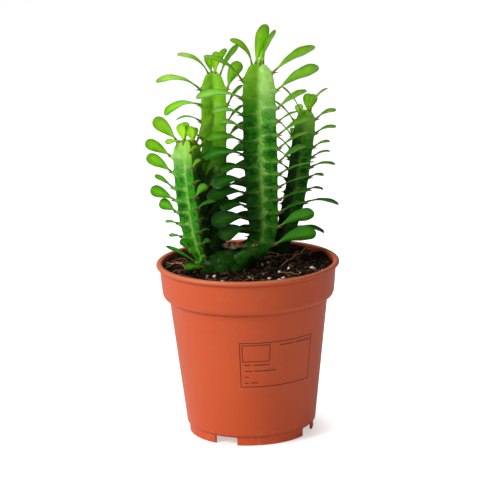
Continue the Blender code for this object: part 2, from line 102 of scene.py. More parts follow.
DRAIN_DEPTH = 0.012

# Potting mix, in metres: its level, relief, slope to the back, heap along the wall and strewn fibres
MIX_LEVEL = 0.1100
MIX_CLEARANCE = 0.0004
MIX_WAVE = 0.00072
MIX_LUMPS = 0.0011
MIX_SLOPE = 0.018
MIX_SUNK = 0.0004
HEAP_RADIUS = 0.0505
HEAP_SLOPE = 0.45
MIX_COLUMNS = 200
MIX_RINGS = 84
BARE_EDGE = 0.0022
STREWN_RADIUS = 0.0545
FIBRE_CIRCLE = 0.054
FIBRE_STEPS = 14
# Long straws on the mix: x, y, heading, length, radius, bend, lift at the middle, tone and climb to the end
STRAWS = ((0.0218, -0.0020, 1.02, 0.0400, 0.00042, 0.18, 0.0012, 0.95, 0.0020),
          (0.0180, 0.0200, 0.30, 0.0300, 0.00040, -0.20, 0.0012, 0.45, 0.0010),
          (-0.0530, 0.0080, -0.75, 0.0190, 0.00034, 0.30, 0.0026, 0.95, 0.0),
          (-0.0500, 0.0170, -0.95, 0.0240, 0.00026, -0.40, 0.0022, 0.75, 0.0),
          (-0.0540, -0.0020, 0.70, 0.0200, 0.00030, -0.30, 0.0030, 0.85, 0.0),
          (-0.0480, 0.0040, 0.15, 0.0180, 0.00024, 0.50, 0.0030, 0.60, 0.0),
          (0.0330, -0.0240, 2.60, 0.0150, 0.00026, 0.40, 0.0012, 0.80, 0.0))

# Stems: lengths in millimetres, turns in degrees, distances measured down the stem from its top
GROOVE_SHARE = 0.32
SPINE_SPREAD = 36
CREST_SUNK = 0.4
LEAF_RISE = 0.9
TUFT_SUNK = 1.0
HIDDEN_RISE = (38, 5)
HIDDEN_SHARE = 0.7
RING_STEP = 0.6
FIRST_RINGS = (0, 0.12, 0.3, 0.55, 0.85)
DOME_RUN = 1.2
BLEND_REACH = 4
PLANT_MIDDLE = Vector((-10, 6, 0))

# A leaf's length, rise above the level, width and roll, and a leaf of the tuft with its place on the dome
Leaf = namedtuple("Leaf", "length rise width turn")
Shoot = namedtuple("Shoot", "x y heading droop leaf")
# Where a rib's leaves head, how far they droop, how many teeth it lags and its leaves from the top, or
# for a rib turned away the length of its first and last leaf
Rib = namedtuple("Rib", "heading droop lag leaves reach", defaults=[None])
# marks pairs teeth with distances. shade is the painted light at the top and the foot, and fade where it
# changes.
# shelter scales the painted shade on the side that faces the plant's middle, and ripening is how soon the
# colours grow old
Stem = namedtuple("Stem", "route radii first_rib marks teeth ribs tuft seed shade fade shelter ripening")

# The tall stem in the middle bends up from the trunk
MIDDLE = Stem(
    route=[(9.8, -2, 244.5), (9.8, -2, 200), (10.3, -2, 160), (10.6, -2, 138), (7.6, -2, 127),
           (-1.5, -3, 118.6), (-10, -3, 111.5), (-14, -3, 98)],
    radii=[(0, 4.4), (1.2, 6.8), (5, 11.0), (14, 13.2), (60, 13.9), (85, 13.0), (100, 12.4), (117, 10.8),
           (128, 8.4), (160, 6.0)],
    first_rib=-30,
    marks=[(-1, -5), (0, 5.5), (2, 28.8), (6, 63.4), (11, 106), (12, 115), (16, 156)],
    teeth=13,
    ribs=[
        Rib(-12, 22, 0, [(31, 31, 10.5, 38), (30.5, 29, 10.5, 44), (22, 32, 7, 45), (14, 27, 5, 30),
                         (25, 28, 7, 30), (22, 29, 6.5, 30), (19.5, 32, 7, 42), (24, 20, 7, 20),
                         (19.5, 20, 6, 15), (21.5, 16, 6, 18), (19, 22, 6, 26), (24.5, 22, 10, 62),
                         (28.5, 18, 11.5, 62)]),
        Rib(90, 30, 0, [], reach=(24, 10)),
        Rib(-170, 52, 0.38, [(29, 33, 8, 18), (29, 1, 8.5, 26), (18, 5, 7, 26), (14, 14, 6, 30),
                             (22.5, 5, 8, 34), (25, -3, 8.5, 38), (14, -8, 7, 40), (20.5, -11, 9, 44),
                             (24.5, -7, 9.5, 50), (16.5, -3, 8, 48), (23, -8, 11, 62), (19, -16, 10.5, 58)]),
    ],
    tuft=[Shoot(-1.5, -1, 12, 8, Leaf(26.7, 74, 9.5, 75)), Shoot(1.2, -2, 4, 18, Leaf(24.5, 65, 6, 40)),
          Shoot(3.2, 1, 30, 10, Leaf(15.5, 77, 5, 40)), Shoot(-4.2, -2, 178, 72, Leaf(23, 51, 6, 30)),
          Shoot(1.4, 3, 60, 20, Leaf(14, 70, 5, 20))],
    seed=3,
    shade=(1.0, 0.30),
    fade=(0.1, 0.85),
    shelter=1.0,
    ripening=1.0,
)

# The front left stem leans out from the trunk, with one rib facing the front
FRONT_LEFT = Stem(
    route=[(-37, -3, 196.0), (-35.8, -3, 172), (-34, -3, 150), (-31.6, -3, 130), (-27, -3, 112),
           (-23, -3, 98)],
    radii=[(0, 4.0), (1.2, 8.0), (5, 11.0), (11, 12.0), (45, 12.5), (58, 12.0), (68, 10.0), (76, 7.5),
           (90, 6.0)],
    first_rib=-78,
    marks=[(-1, -9.5), (0, 1.0), (3, 32.0), (6, 55.6), (9, 81.5), (11, 99)],
    teeth=10,
    ribs=[
        Rib(-40, 20, 0.5, [(6, 40, 4, 20), (8.5, 43, 4, 20), (5, 20, 3, 10), (13, 43, 6, 55),
                           (16.5, 24, 5, 25), (6, 19, 3, 10), (9, 20, 4, 30), (8, 24, 5, 50)]),
        Rib(10, 20, 0.5, [(10, 46, 5, 40), (12, 44, 6, 50), (14, 52, 6.5, 52), (15, 40, 8, 60),
                          (13, 28, 7, 60), (15, 34, 8, 62), (13, 18, 7, 60), (12, 24, 7, 55),
                          (11, 14, 6, 50)]),
        Rib(176, 16, 0, [(20, 44, 9, 62), (18.2, 30, 8, 58), (18.7, 33, 8, 56), (14, 35, 5, 20),
                         (16.5, 24, 8, 60), (12, 32, 7.5, 66), (8, 8, 4, 14), (8.5, 6, 4, 24),
                         (8.5, 55, 5.5, 60), (21.5, 30, 5, 25)]),
    ],
    tuft=[Shoot(-2.6, -1, 150, 20, Leaf(12, 80, 7, 80)), Shoot(-1.4, 1, 50, 20, Leaf(12.5, 84, 6, -40)),
          Shoot(3.2, -2, 160, 30, Leaf(10, 76, 6.5, 80)), Shoot(4.2, 0, 20, 20, Leaf(9, 78, 5, 95)),
          Shoot(6.6, 2.6, 8, 20, Leaf(20, 56, 7.5, 60)), Shoot(-6, 0, 184, 20, Leaf(8.5, -4, 4.5, 40))],
    seed=5,
    shade=(1.0, 0.80),
    fade=(0.1, 0.85),
    shelter=1.0,
    ripening=1.25,
)

# The stem behind on the left stands upright in the mix
BACK_LEFT = Stem(
    route=[(-19.6, 26, 234.6), (-20, 26, 200), (-21, 26, 150), (-22, 26, 118), (-22, 26, 96)],
    radii=[(0, 4.2), (1.2, 6.2), (3.4, 7.8), (8.7, 10.4), (108, 10.4), (121, 7.0), (126, 6.6), (160, 6.6)],
    first_rib=-30,
    marks=[(-1, -2), (0, 10.2), (1, 20.8), (2, 31.6), (3, 42.2), (10, 118), (14, 158)],
    teeth=10,
    ribs=[
        Rib(-8, 25, 0, [(19, 63, 9, 65), (16, 52, 6, 30), (15, 44, 6, 30), (16, 38, 7, 35), (21, 14, 10, 62),
                        (22, 6, 10.5, 64), (21, 2, 10.5, 64), (22, -2, 10.5, 64), (21, -2, 10, 62),
                        (18, 6, 9, 56)]),
        Rib(90, 30, 0.5, [], reach=(26, 15)),
        Rib(-178, 70, 0, [(30, 10, 7, 16), (25, -16, 8, 24), (16, 4, 5, 12), (14, 6, 5, 10), (12, 0, 5, 10)]),
    ],
    tuft=[Shoot(1.3, -1, 60, 20, Leaf(15, 80, 6, -30)), Shoot(1.5, 0, 10, 50, Leaf(18.5, 64, 5, 80)),
          Shoot(4.8, -1.8, 5, 25, Leaf(23, 57, 6.5, 45)), Shoot(-1, 2, 150, 20, Leaf(12, 70, 5, 30)),
          Shoot(-3, -1.6, 180, 72, Leaf(26, 34, 6, 14))],
    seed=8,
    shade=(1.0, 0.10),
    fade=(0.22, 0.62),
    shelter=0.1,
    ripening=0.40,
)

# The stem behind on the right leans out to the right
BACK_RIGHT = Stem(
    route=[(40.8, 37, 206.5), (37.4, 37.5, 184), (34.4, 38, 164), (31, 38, 146), (26, 37.5, 128),
           (22, 37, 115), (21.6, 37, 108), (21.6, 37, 96)],
    radii=[(0, 4.0), (1.2, 6.2), (5, 8.4), (14, 9.2), (73, 9.2), (85, 7.8), (92, 6.2), (97, 6.0),
           (125, 6.0)],
    first_rib=-20,
    marks=[(-1, -5), (0, 4.8), (2, 24), (5, 44.4), (9, 78.6), (13, 112), (15, 128)],
    teeth=10,
    ribs=[
        Rib(-4, 48, 0, [(14, 22, 5, 42), (14, 16, 5, 36), (11, 18, 4.5, 32), (12, 16, 5, 34), (16, 4, 5, 38),
                        (9, 4, 4.5, 36), (10, -2, 4.5, 40), (22.4, -6, 6, 36), None, (18, -14, 6.5, 46)]),
        Rib(100, 30, 0.5, [], reach=(17.4, 10)),
        Rib(-165, 24, 0.35, [(19, 48, 5, 10), (18, 46, 5, 10), (15, 42, 5, 10), (13, 36, 5, 10),
                             (12, 30, 5, 10), (10, 20, 4, 10)]),
    ],
    tuft=[Shoot(1.2, 0, 60, 20, Leaf(12, 78, 7, -30)), Shoot(3.2, -1.2, 8, 62, Leaf(20, 52, 5.5, 30)),
          Shoot(2.4, -1, 30, 16, Leaf(12, 68, 6, -55)), Shoot(-3, -1, 194, 26, Leaf(22, 54, 5, 12))],
    seed=12,
    shade=(0.85, 0.22),
    fade=(0.1, 0.85),
    shelter=0.7,
    ripening=1.1,
)

PLANTS = {"stems_front": [MIDDLE, FRONT_LEFT], "stem_back_left": [BACK_LEFT],
          "stem_back_right": [BACK_RIGHT]}

# The trunk that both front stems grew from, an oval dome in millimetres
TRUNK_CENTRE = (-16, -3)
TRUNK_HALF_SIZE = (16.8, 12.2)
TRUNK_PROFILE = [(96, 1.0), (108, 1.0), (112, 0.98), (115, 0.92), (118, 0.80), (120.3, 0.62), (121.8, 0.36),
                 (122.3, 0.0)]
TRUNK_RISE = 26.3
TRUNK_PEAK = 122
TRUNK_RINGS = 40
TRUNK_COLUMNS = 96
# What the skin's finish reads all over the trunk; its shade and inner set the painted shade
TRUNK_LOOK = {"turn": 0.7, "phase": 0.25, "foot": 1.0, "age": 1.1, "shade": 0.32, "inner": 0.6}

# Leaves on the trunk: where each starts in millimetres, its heading, form and droop
DRIED_LEAF = ((4.2, -7.6, 125.6), 190, Leaf(21, 4, 5, 48), -8)
LOW_LEAF = ((-31, -9.8, 112.9), 190, Leaf(10.5, 2, 5.5, 40), 20)

# Printed frame on the pot wall: headings in degrees from the front towards +X, heights in metres
PRINT_OUTER = (-7.9, 52.9, 0.0415, 0.0720)
PRINT_INNER = (-6.0, 15.4, 0.0589, 0.0704)
PRINT_DASHES = [(-4.5, 0.5, 0.0564), (2.5, 15.0, 0.0564), (-4.5, 1.5, 0.0523), (3.0, 20.0, 0.0523),
                (-4.5, -1.5, 0.0483), (-4.5, -1.5, 0.0442), (0.5, 6.0, 0.0442),
                (23.0, 34.0, 0.0690), (36.0, 50.7, 0.0690)]
DASH_WIDTH = 0.0006
PRINT_SUNK = 0.0002
PRINT_PROUD = 0.00006


def srgb(red, green, blue):
    """A colour from 0 to 255 as the linear values that Blender holds."""
    shares = [part / 255 for part in (red, green, blue)]
    return tuple(share / 12.92 if share <= 0.04045 else ((share + 0.055) / 1.055) ** 2.4 for share in shares)


def colour_property(name, description, default):
    return bpy.props.FloatVectorProperty(
        name=name, description=description, default=default, subtype="COLOR", size=3, min=0, max=1)


def length_property(name, description, default):
    return bpy.props.FloatProperty(name=name, description=description, default=default, unit="LENGTH", min=0)


def share_property(name, description, default):
    return bpy.props.FloatProperty(
        name=name, description=description, default=default, subtype="FACTOR", min=0, max=1)


def count_property(name, description, default, most, least=0):
    return bpy.props.IntProperty(name=name, description=description, default=default, min=least, max=most)


class PotSettings(bpy.types.PropertyGroup):
    clay: colour_property("Clay", "Colour of the moulded plastic", srgb(222, 86, 26))
    ink: colour_property("Ink", "Colour of the printed frame", srgb(58, 20, 12))
    steps: count_property("Steps", "Steps round the pot", 160, 360, 24)
    corner: length_property("Corner", "Rounding of the moulded corners", 0.0007)
    line: length_property("Line", "Width of the printed lines", 0.00048)


class MixSettings(bpy.types.PropertyGroup):
    peat: colour_property("Peat", "Colour of the moist peat", srgb(50, 32, 23))
    bark: colour_property("Bark", "Colour of the bark chips", srgb(128, 86, 54))
    straw: colour_property("Straw", "Colour of the fibres", srgb(206, 150, 100))
    perlite: colour_property("Perlite", "Colour of the perlite grains", srgb(250, 246, 236))
    crumbs: count_property("Crumbs", "Peat crumbs", 2400, 6000)
    clods: count_property("Clods", "Larger clods of peat", 420, 2000)
    chips: count_property("Chips", "Bark chips", 420, 2000)
    grains: count_property("Grains", "Perlite grains", 90, 2000)
    fibres: count_property("Fibres", "Loose fibres", 120, 800)


class PlantSettings(bpy.types.PropertyGroup):
    young: colour_property("Young skin", "Skin near the top of a stem", srgb(138, 212, 24))
    mature: colour_property("Mature skin", "Skin lower on a stem", srgb(46, 150, 6))
    blotch: colour_property("Blotch", "Dark patches between the pale marks", srgb(6, 80, 0))
    pale: colour_property("Pale mark", "Pale stripe along each groove", srgb(164, 222, 98))
    fresh_leaf: colour_property("Fresh leaf", "Leaves near the top", srgb(172, 248, 22))
    old_leaf: colour_property("Old leaf", "Leaves low on a stem", srgb(44, 168, 12))
    stalk: colour_property("Leaf stalk", "Foot of a leaf", srgb(128, 104, 34))
    thorn: colour_property("Thorn", "Thorns and their shields", srgb(72, 40, 22))
    tooth: share_property("Tooth depth", "Swell of a rib at each tooth", 0.20)
    thickness: length_property("Blade thickness", "Thickness of a leaf", 0.0006)


class StageSettings(bpy.types.PropertyGroup):
    distance: length_property("Distance", "Camera to the middle of the plant", 1.4)
    rise: bpy.props.FloatProperty(
        name="Rise", description="Camera's height angle", default=math.radians(14.1), subtype="ANGLE")
    key: bpy.props.FloatProperty(name="Key", description="Main lamp", default=15.0, unit="POWER", min=0)
    fill: bpy.props.FloatProperty(name="Fill", description="Weak lamp", default=1.6, unit="POWER", min=0)
    sky: share_property("Sky", "Even light from all round", 0.10)


def adds(operation, flipped=False):
    """A method of Value that adds this Math node, with its inputs the other way round where flipped."""
    def method(self, other):
        return self.graph.math(operation, *((other, self) if flipped else (self, other)))
    return method


class Value:
    """One output of a node. Sums written on it add Math nodes to its tree."""

    def __init__(self, graph, socket):
        self.graph = graph
        self.socket = socket

    def also(self, name):
        """Another output of the same node."""
        return Value(self.graph, pick(self.socket.node.outputs, name))

    __add__ = adds("ADD")
    __radd__ = adds("ADD", flipped=True)
    __sub__ = adds("SUBTRACT")
    __rsub__ = adds("SUBTRACT", flipped=True)
    __mul__ = adds("MULTIPLY")
    __rmul__ = adds("MULTIPLY", flipped=True)
    __truediv__ = adds("DIVIDE")
    __pow__ = adds("POWER")
    __mod__ = adds("FLOORED_MODULO")
    __lt__ = adds("LESS_THAN")
    __gt__ = adds("GREATER_THAN")

    def __abs__(self):
        return self.graph.math("ABSOLUTE", self)


def pick(sockets, key):
    """The socket at this index, or of this name, among those that the node's settings leave in use."""
    used = [socket for socket in sockets if socket.enabled]
    return used[key] if isinstance(key, int) else next(socket for socket in used if socket.name == key)


class Graph:
    """Adds nodes to one tree, of a material, the world or geometry."""

    def __init__(self, tree):
        self.tree = tree

    def node(self, kind, settings=None, inputs=None, output=0):
        """Any node: its settings first, then the values or links of its sockets."""
        node = self.tree.nodes.new(kind)
        for name, setting in (settings or {}).items():
            setattr(node, name, setting)
        for key, given in (inputs or {}).items():
            socket = pick(node.inputs, key)
            if isinstance(given, Value):
                self.tree.links.new(given.socket, socket)
            elif socket.type == "RGBA":
                socket.default_value = (*given, 1)
            else:
                socket.default_value = given
        return Value(self, pick(node.outputs, output)) if node.outputs else None

    def math(self, operation, *values):
        return self.node("ShaderNodeMath", {"operation": operation}, dict(enumerate(values)))

    def largest(self, first, *others):
        for other in others:
            first = self.math("MAXIMUM", first, other)
        return first

    def wheel(self, angle):
        """An angle's cosine and sine."""
        return self.math("COSINE", angle), self.math("SINE", angle)

    def attributes(self, *names):
        return [self.attribute(name) for name in names]

    def smooth(self, value, low, high):
        """0 up to low and 1 from high on, with a soft step between."""
        return self.node("ShaderNodeMapRange", {"interpolation_type": "SMOOTHSTEP"},
                         {"Value": value, "From Min": low, "From Max": high})

    def mix(self, share, first, second, blend="MIX"):
        """Two colours mixed."""
        return self.node("ShaderNodeMix", {"data_type": "RGBA", "blend_type": blend},
                         {"Factor": share, "A": first, "B": second})

    def noise(self, place, scale, detail=2.0, roughness=0.5):
        return self.node("ShaderNodeTexNoise", None,
                         {"Vector": place, "Scale": scale, "Detail": detail, "Roughness": roughness})

    def combined(self, x=0.0, y=0.0, z=0.0):
        """A vector from its three parts."""
        return self.node("ShaderNodeCombineXYZ", None, {"X": x, "Y": y, "Z": z})

    def part(self, vector, axis):
        return self.node("ShaderNodeSeparateXYZ", None, {"Vector": vector}, axis)

    def vector(self, operation, *values):
        settings = {"operation": operation}
        if operation == "SCALE":
            return self.node("ShaderNodeVectorMath", settings, {"Vector": values[0], "Scale": values[1]})
        return self.node("ShaderNodeVectorMath", settings, dict(enumerate(values)))


class Finish(Graph):
    """A material whose colours are worked out on the object's own coordinates."""

    def __init__(self, name):
        self.material = bpy.data.materials.new(name)
        self.material.use_nodes = True
        super().__init__(self.material.node_tree)
        self.tree.nodes.clear()
        self.place = self.node("ShaderNodeTexCoord", output="Object")

    def attribute(self, name):
        return self.node("ShaderNodeAttribute", {"attribute_name": name}, output="Fac")

    def grain(self, scale, detail=2.0, roughness=0.5):
        """Noise on the object's own coordinates."""
        return self.noise(self.place, scale, detail, roughness)

    def dimmed(self, colour, light):
        """The colour under this share of the light."""
        grey = self.node("ShaderNodeCombineColor", None, {"Red": light, "Green": light, "Blue": light})
        return self.mix(1.0, colour, grey, "MULTIPLY")

    def bump(self, height, strength, distance):
        return self.node("ShaderNodeBump", None,
                         {"Height": height, "Strength": strength, "Distance": distance})

    def surface(self, **sockets):
        """Closes the material with one shader. Socket names have underscores for spaces."""
        inputs = {name.replace("_", " "): given for name, given in sockets.items()}
        shader = self.node("ShaderNodeBsdfPrincipled", None, inputs)
        self.node("ShaderNodeOutputMaterial", None, {"Surface": shader})
        return self.material


class Shape(Graph):
    """A geometry tree with named sizes, which ends by realizing its instances and setting the finish."""

    def __init__(self, name, sizes):
        super().__init__(bpy.data.node_groups.new(name, "GeometryNodeTree"))
        face = self.tree.interface
        face.new_socket("Geometry", in_out="INPUT", socket_type="NodeSocketGeometry")
        for label, default in sizes.items():
            whole = isinstance(default, int)
            socket = face.new_socket(label, in_out="INPUT",
                                     socket_type="NodeSocketInt" if whole else "NodeSocketFloat")
            socket.default_value = default
        face.new_socket("Finish", in_out="INPUT", socket_type="NodeSocketMaterial")
        face.new_socket("Geometry", in_out="OUTPUT", socket_type="NodeSocketGeometry")
        self.given = self.node("NodeGroupInput")

    def size(self, label):
        return self.given.also(label)

    def here(self):
        return self.node("GeometryNodeInputPosition")

    def attribute(self, name, kind="FLOAT"):
        return self.node("GeometryNodeInputNamedAttribute", {"data_type": kind}, {"Name": name})

    def way(self, name):
        return self.attribute(name, "FLOAT_VECTOR")

    def store(self, geometry, kind="FLOAT", domain="POINT", **values):
        """The geometry with each of these values stored under its name."""
        for name, value in values.items():
            geometry = self.node("GeometryNodeStoreNamedAttribute", {"data_type": kind, "domain": domain},
                                 {"Geometry": geometry, "Name": name, "Value": value})
        return geometry

    def index_share(self, count):
        """Each point's number divided by the count."""
        return self.node("GeometryNodeInputIndex") / count

    def tube(self, path, columns):
        """A tube round the path whose points know how far round it they are, as the attribute lap."""
        ring = self.node("GeometryNodeCurvePrimitiveCircle", {"mode": "RADIUS"},
                         {"Resolution": columns, "Radius": 0.001})
        ring = self.store(ring, lap=self.index_share(columns))
        return self.node("GeometryNodeCurveToMesh", None,
                         {"Curve": path, "Profile Curve": ring, "Fill Caps": True})

    def sum_of(self, first, *terms):
        """first plus each vector times its amount."""
        total = first
        for vector, amount in terms:
            total = self.vector("ADD", total, self.vector("SCALE", vector, amount))
        return total

    def moved(self, geometry, **more):
        return self.node("GeometryNodeSetPosition", None, {"Geometry": geometry, **more})

    def turned(self, geometry, **more):
        return self.node("GeometryNodeTransform", None, {"Geometry": geometry, **more})

    def placed(self, points, instance, **more):
        """A copy of the instance at every point."""
        return self.node("GeometryNodeInstanceOnPoints", None,
                         {"Points": points, "Instance": instance, **more})

    def realized(self, geometry):
        return self.node("GeometryNodeRealizeInstances", None, {"Geometry": geometry})

    def close(self, geometry):
        solid = self.node("GeometryNodeSetShadeSmooth", None, {"Geometry": self.realized(geometry)})
        solid = self.node("GeometryNodeSetMaterial", None,
                          {"Geometry": solid, "Material": self.size("Finish")})
        self.node("NodeGroupOutput", None, {"Geometry": solid})
        return self


def new_object(name, mesh):
    obj = bpy.data.objects.new(name, mesh)
    bpy.context.scene.collection.objects.link(obj)
    return obj


def mesh_from(solid, name):
    mesh = bpy.data.meshes.new(name)
    solid.to_mesh(mesh)
    solid.free()
    return mesh


def closed_mesh(solid, name, finish=None, smooth=False):
    """The mesh of a closed solid, with its faces turned outwards."""
    bmesh.ops.recalc_face_normals(solid, faces=solid.faces)
    for face in solid.faces:
        face.smooth = smooth
    mesh = mesh_from(solid, name)
    if finish:
        mesh.materials.append(finish)
    return mesh


def around(columns):
    """Angles spaced evenly round a circle."""
    return [2 * math.pi * i / columns for i in range(columns)]


def circle(solid, radius, height, columns):
    """A level ring of new points round Z."""
    return [solid.verts.new((radius * math.cos(angle), radius * math.sin(angle), height))
            for angle in around(columns)]


def wrap(solid, rows):
    """Faces from each ring of points to the next."""
    for low, high in zip(rows, rows[1:]):
        for i in range(len(low)):
            solid.faces.new((low[i - 1], low[i], high[i], high[i - 1]))


def cap(solid, row, peak):
    """Faces from a ring of points to one point."""
    for i in range(len(row)):
        solid.faces.new((row[i - 1], row[i], peak))


def host_mesh(name, points, attributes, chains=()):
    """Loose or chained points that carry the values a geometry tree reads."""
    mesh = bpy.data.meshes.new(name)
    mesh.from_pydata(points, chains, [])
    for label, values in attributes.items():
        vectors = hasattr(values[0], "__len__")
        layer = mesh.attributes.new(label, "FLOAT_VECTOR" if vectors else "FLOAT", "POINT")
        if vectors:
            layer.data.foreach_set("vector", [part for value in values for part in value])
        else:
            layer.data.foreach_set("value", values)
    return new_object(name, mesh)


def grown(name, host, shape, finish, **sizes):
    """The plain mesh that the geometry tree makes from its host."""
    sizes = {label.replace("_", " ").capitalize(): size for label, size in sizes.items()}
    sizes["Finish"] = finish
    modifier = host.modifiers.new(name, "NODES")
    modifier.node_group = shape.tree
    for item in shape.tree.interface.items_tree:
        if item.in_out == "INPUT" and item.name in sizes:
            modifier[item.identifier] = sizes[item.name]
    graph = bpy.context.evaluated_depsgraph_get()
    mesh = bpy.data.meshes.new_from_object(host.evaluated_get(graph))
    host.modifiers.remove(modifier)
    solid = bmesh.new()
    solid.from_mesh(mesh)
    bmesh.ops.recalc_face_normals(solid, faces=solid.faces)
    solid.to_mesh(mesh)
    solid.free()
    return mesh


def sprung(name, host, shape, finish, **sizes):
    """The same, from a host that is dropped once its mesh is made."""
    mesh = grown(name, host, shape, finish, **sizes)
    drop(host)
    return mesh


def joined(name, meshes):
    """One object from several meshes that share their finish."""
    parts = [new_object(name, mesh) for mesh in meshes]
    with bpy.context.temp_override(active_object=parts[0], selected_editable_objects=parts):
        bpy.ops.object.join()
    parts[0].data.name = name
    return parts[0]


def settle(piece, slot, *nodes):
    """The piece rides on the one body and stands for these CAD nodes. The slot it is given is not used."""
    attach(piece, BODY)
    if nodes:
        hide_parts(*nodes)
    return piece


def drop(*objects):
    for obj in objects:
        bpy.data.objects.remove(obj, do_unlink=True)


def value_at(keys, place):
    """The value at this place on a line through (place, value) keys."""
    for (start, first), (end, last) in zip(keys, keys[1:]):
        if place <= end:
            return first + (last - first) * max(0, place - start) / (end - start)
    return keys[-1][1]


def smoothed_at(keys, place, reach):
    """The value near this place, with the line's corners rounded off."""
    return sum(value_at(keys, max(0, place + reach * step / 4)) for step in range(-4, 5)) / 9


def direction(heading, rise):
    """The unit vector at this heading round Z and this rise above the level, both in degrees."""
    flat = math.cos(math.radians(rise))
    angle = math.radians(heading)
    return Vector((flat * math.cos(angle), flat * math.sin(angle), math.sin(math.radians(rise))))


def route_points(route, count=48):
    """A smooth curve through the route's points."""
    points = [Vector(point) for point in route]
    points = [2 * points[0] - points[1], *points, 2 * points[-1] - points[-2]]
    curve = []
    for i in range(1, len(points) - 2):
        before, start, end, after = points[i - 1:i + 3]
        for step in range(count):
            t = step / count
            curve.append(0.5 * (2 * start + (end - before) * t
                                + (2 * before - 5 * start + 4 * end - after) * t ** 2
                                + (3 * start - before - 3 * end + after) * t ** 3))
    curve.append(points[-2])
    return curve


def frame_at(curve, distance):
    """The point this far down the curve, with the stem's own side, front and upward directions there."""
    travelled = 0
    for start, end in zip(curve, curve[1:]):
        step = (end - start).length
        if travelled + step >= distance:
            break
        travelled += step
    up = (start - end).normalized()
    side = Vector((0, 1, 0)).cross(up).normalized()
    return start + (end - start) * min(1, (distance - travelled) / step), side, up.cross(side), up


def curve_length(curve):
    return sum((end - start).length for start, end in zip(curve, curve[1:]))


def tooth_distance(stem, rib, tooth):
    """How far down the stem this tooth is, on a rib whose teeth may lag behind the others."""
    return value_at(stem.marks, tooth + stem.ribs[rib].lag)


def tooth_number(stem, distance):
    """The tooth that stands this far down the first rib, as a number with a share."""
    return value_at([(place, number) for number, place in stem.marks], distance)


def crest_radius(stem, distance, tooth_depth):
    """The crest radius at the top of a tooth."""
    return value_at(stem.radii, distance) * (1 + 0.5 * tooth_depth)


def between(ends, share):
    return ends[0] + (ends[1] - ends[0]) * share


def ease(value, low, high):
    """0 up to low and 1 from high on, with a soft step between."""
    share = min(1, max(0, (value - low) / (high - low)))
    return share * share * (3 - 2 * share)


def inward_from(point):
    """The level direction from here to the middle of the plant, where least light comes."""
    way = PLANT_MIDDLE - point
    return Vector((way.x, way.y, 0)).normalized()


def hidden_leaf(reach, share, draws):
    """A leaf for a rib turned away from the front, or None where the tooth is bare."""
    if draws.random() > HIDDEN_SHARE:
        return None
    length = between(reach, share) * draws.uniform(0.75, 1.0)
    rise = between(HIDDEN_RISE, share) + draws.uniform(-8, 8)
    return Leaf(length, rise, 2 + 0.26 * length, draws.uniform(-15, 15))


def rib_leaves(stem, rib, draws):
    """The leaf at each tooth of this rib, with None where a tooth is bare."""
    chosen = [sizes and Leaf(*sizes) for sizes in stem.ribs[rib].leaves]
    if chosen:
        return chosen + [None] * (stem.teeth - len(chosen))
    return [hidden_leaf(stem.ribs[rib].reach, tooth / stem.teeth, draws) for tooth in range(stem.teeth)]


def planted(stem, tooth_depth):
    """(thorn places, leaf places) of a stem, in millimetres and degrees."""
    draws = random.Random(stem.seed)
    curve = route_points(stem.route)
    thorns = []
    leaves = []
    for rib, way in enumerate(stem.ribs):
        facing = stem.first_rib + 120 * rib
        for tooth, leaf in enumerate(rib_leaves(stem, rib, draws)):
            distance = tooth_distance(stem, rib, tooth)
            centre, side, front, up = frame_at(curve, distance)
            angle = math.radians(facing)
            outward = side * math.cos(angle) + front * math.sin(angle)
            crest = centre + outward * (crest_radius(stem, distance, tooth_depth) - CREST_SUNK)
            thorns.append((crest, facing, draws.uniform(-12, 14)))
            if leaf:
                heading = way.heading + draws.uniform(-4, 4)
                inner = 0.5 + 0.5 * direction(heading, 0).dot(inward_from(centre))
                root = crest + up * LEAF_RISE
                leaves.append((root, heading, leaf, way.droop, tooth / stem.teeth, inner))
    top = Vector(stem.route[0])
    for shoot in stem.tuft:
        root = top + Vector((shoot.x, shoot.y, -TUFT_SUNK))
        leaves.append((root, shoot.heading, shoot.leaf, shoot.droop, -0.3, 0))
    return thorns, leaves


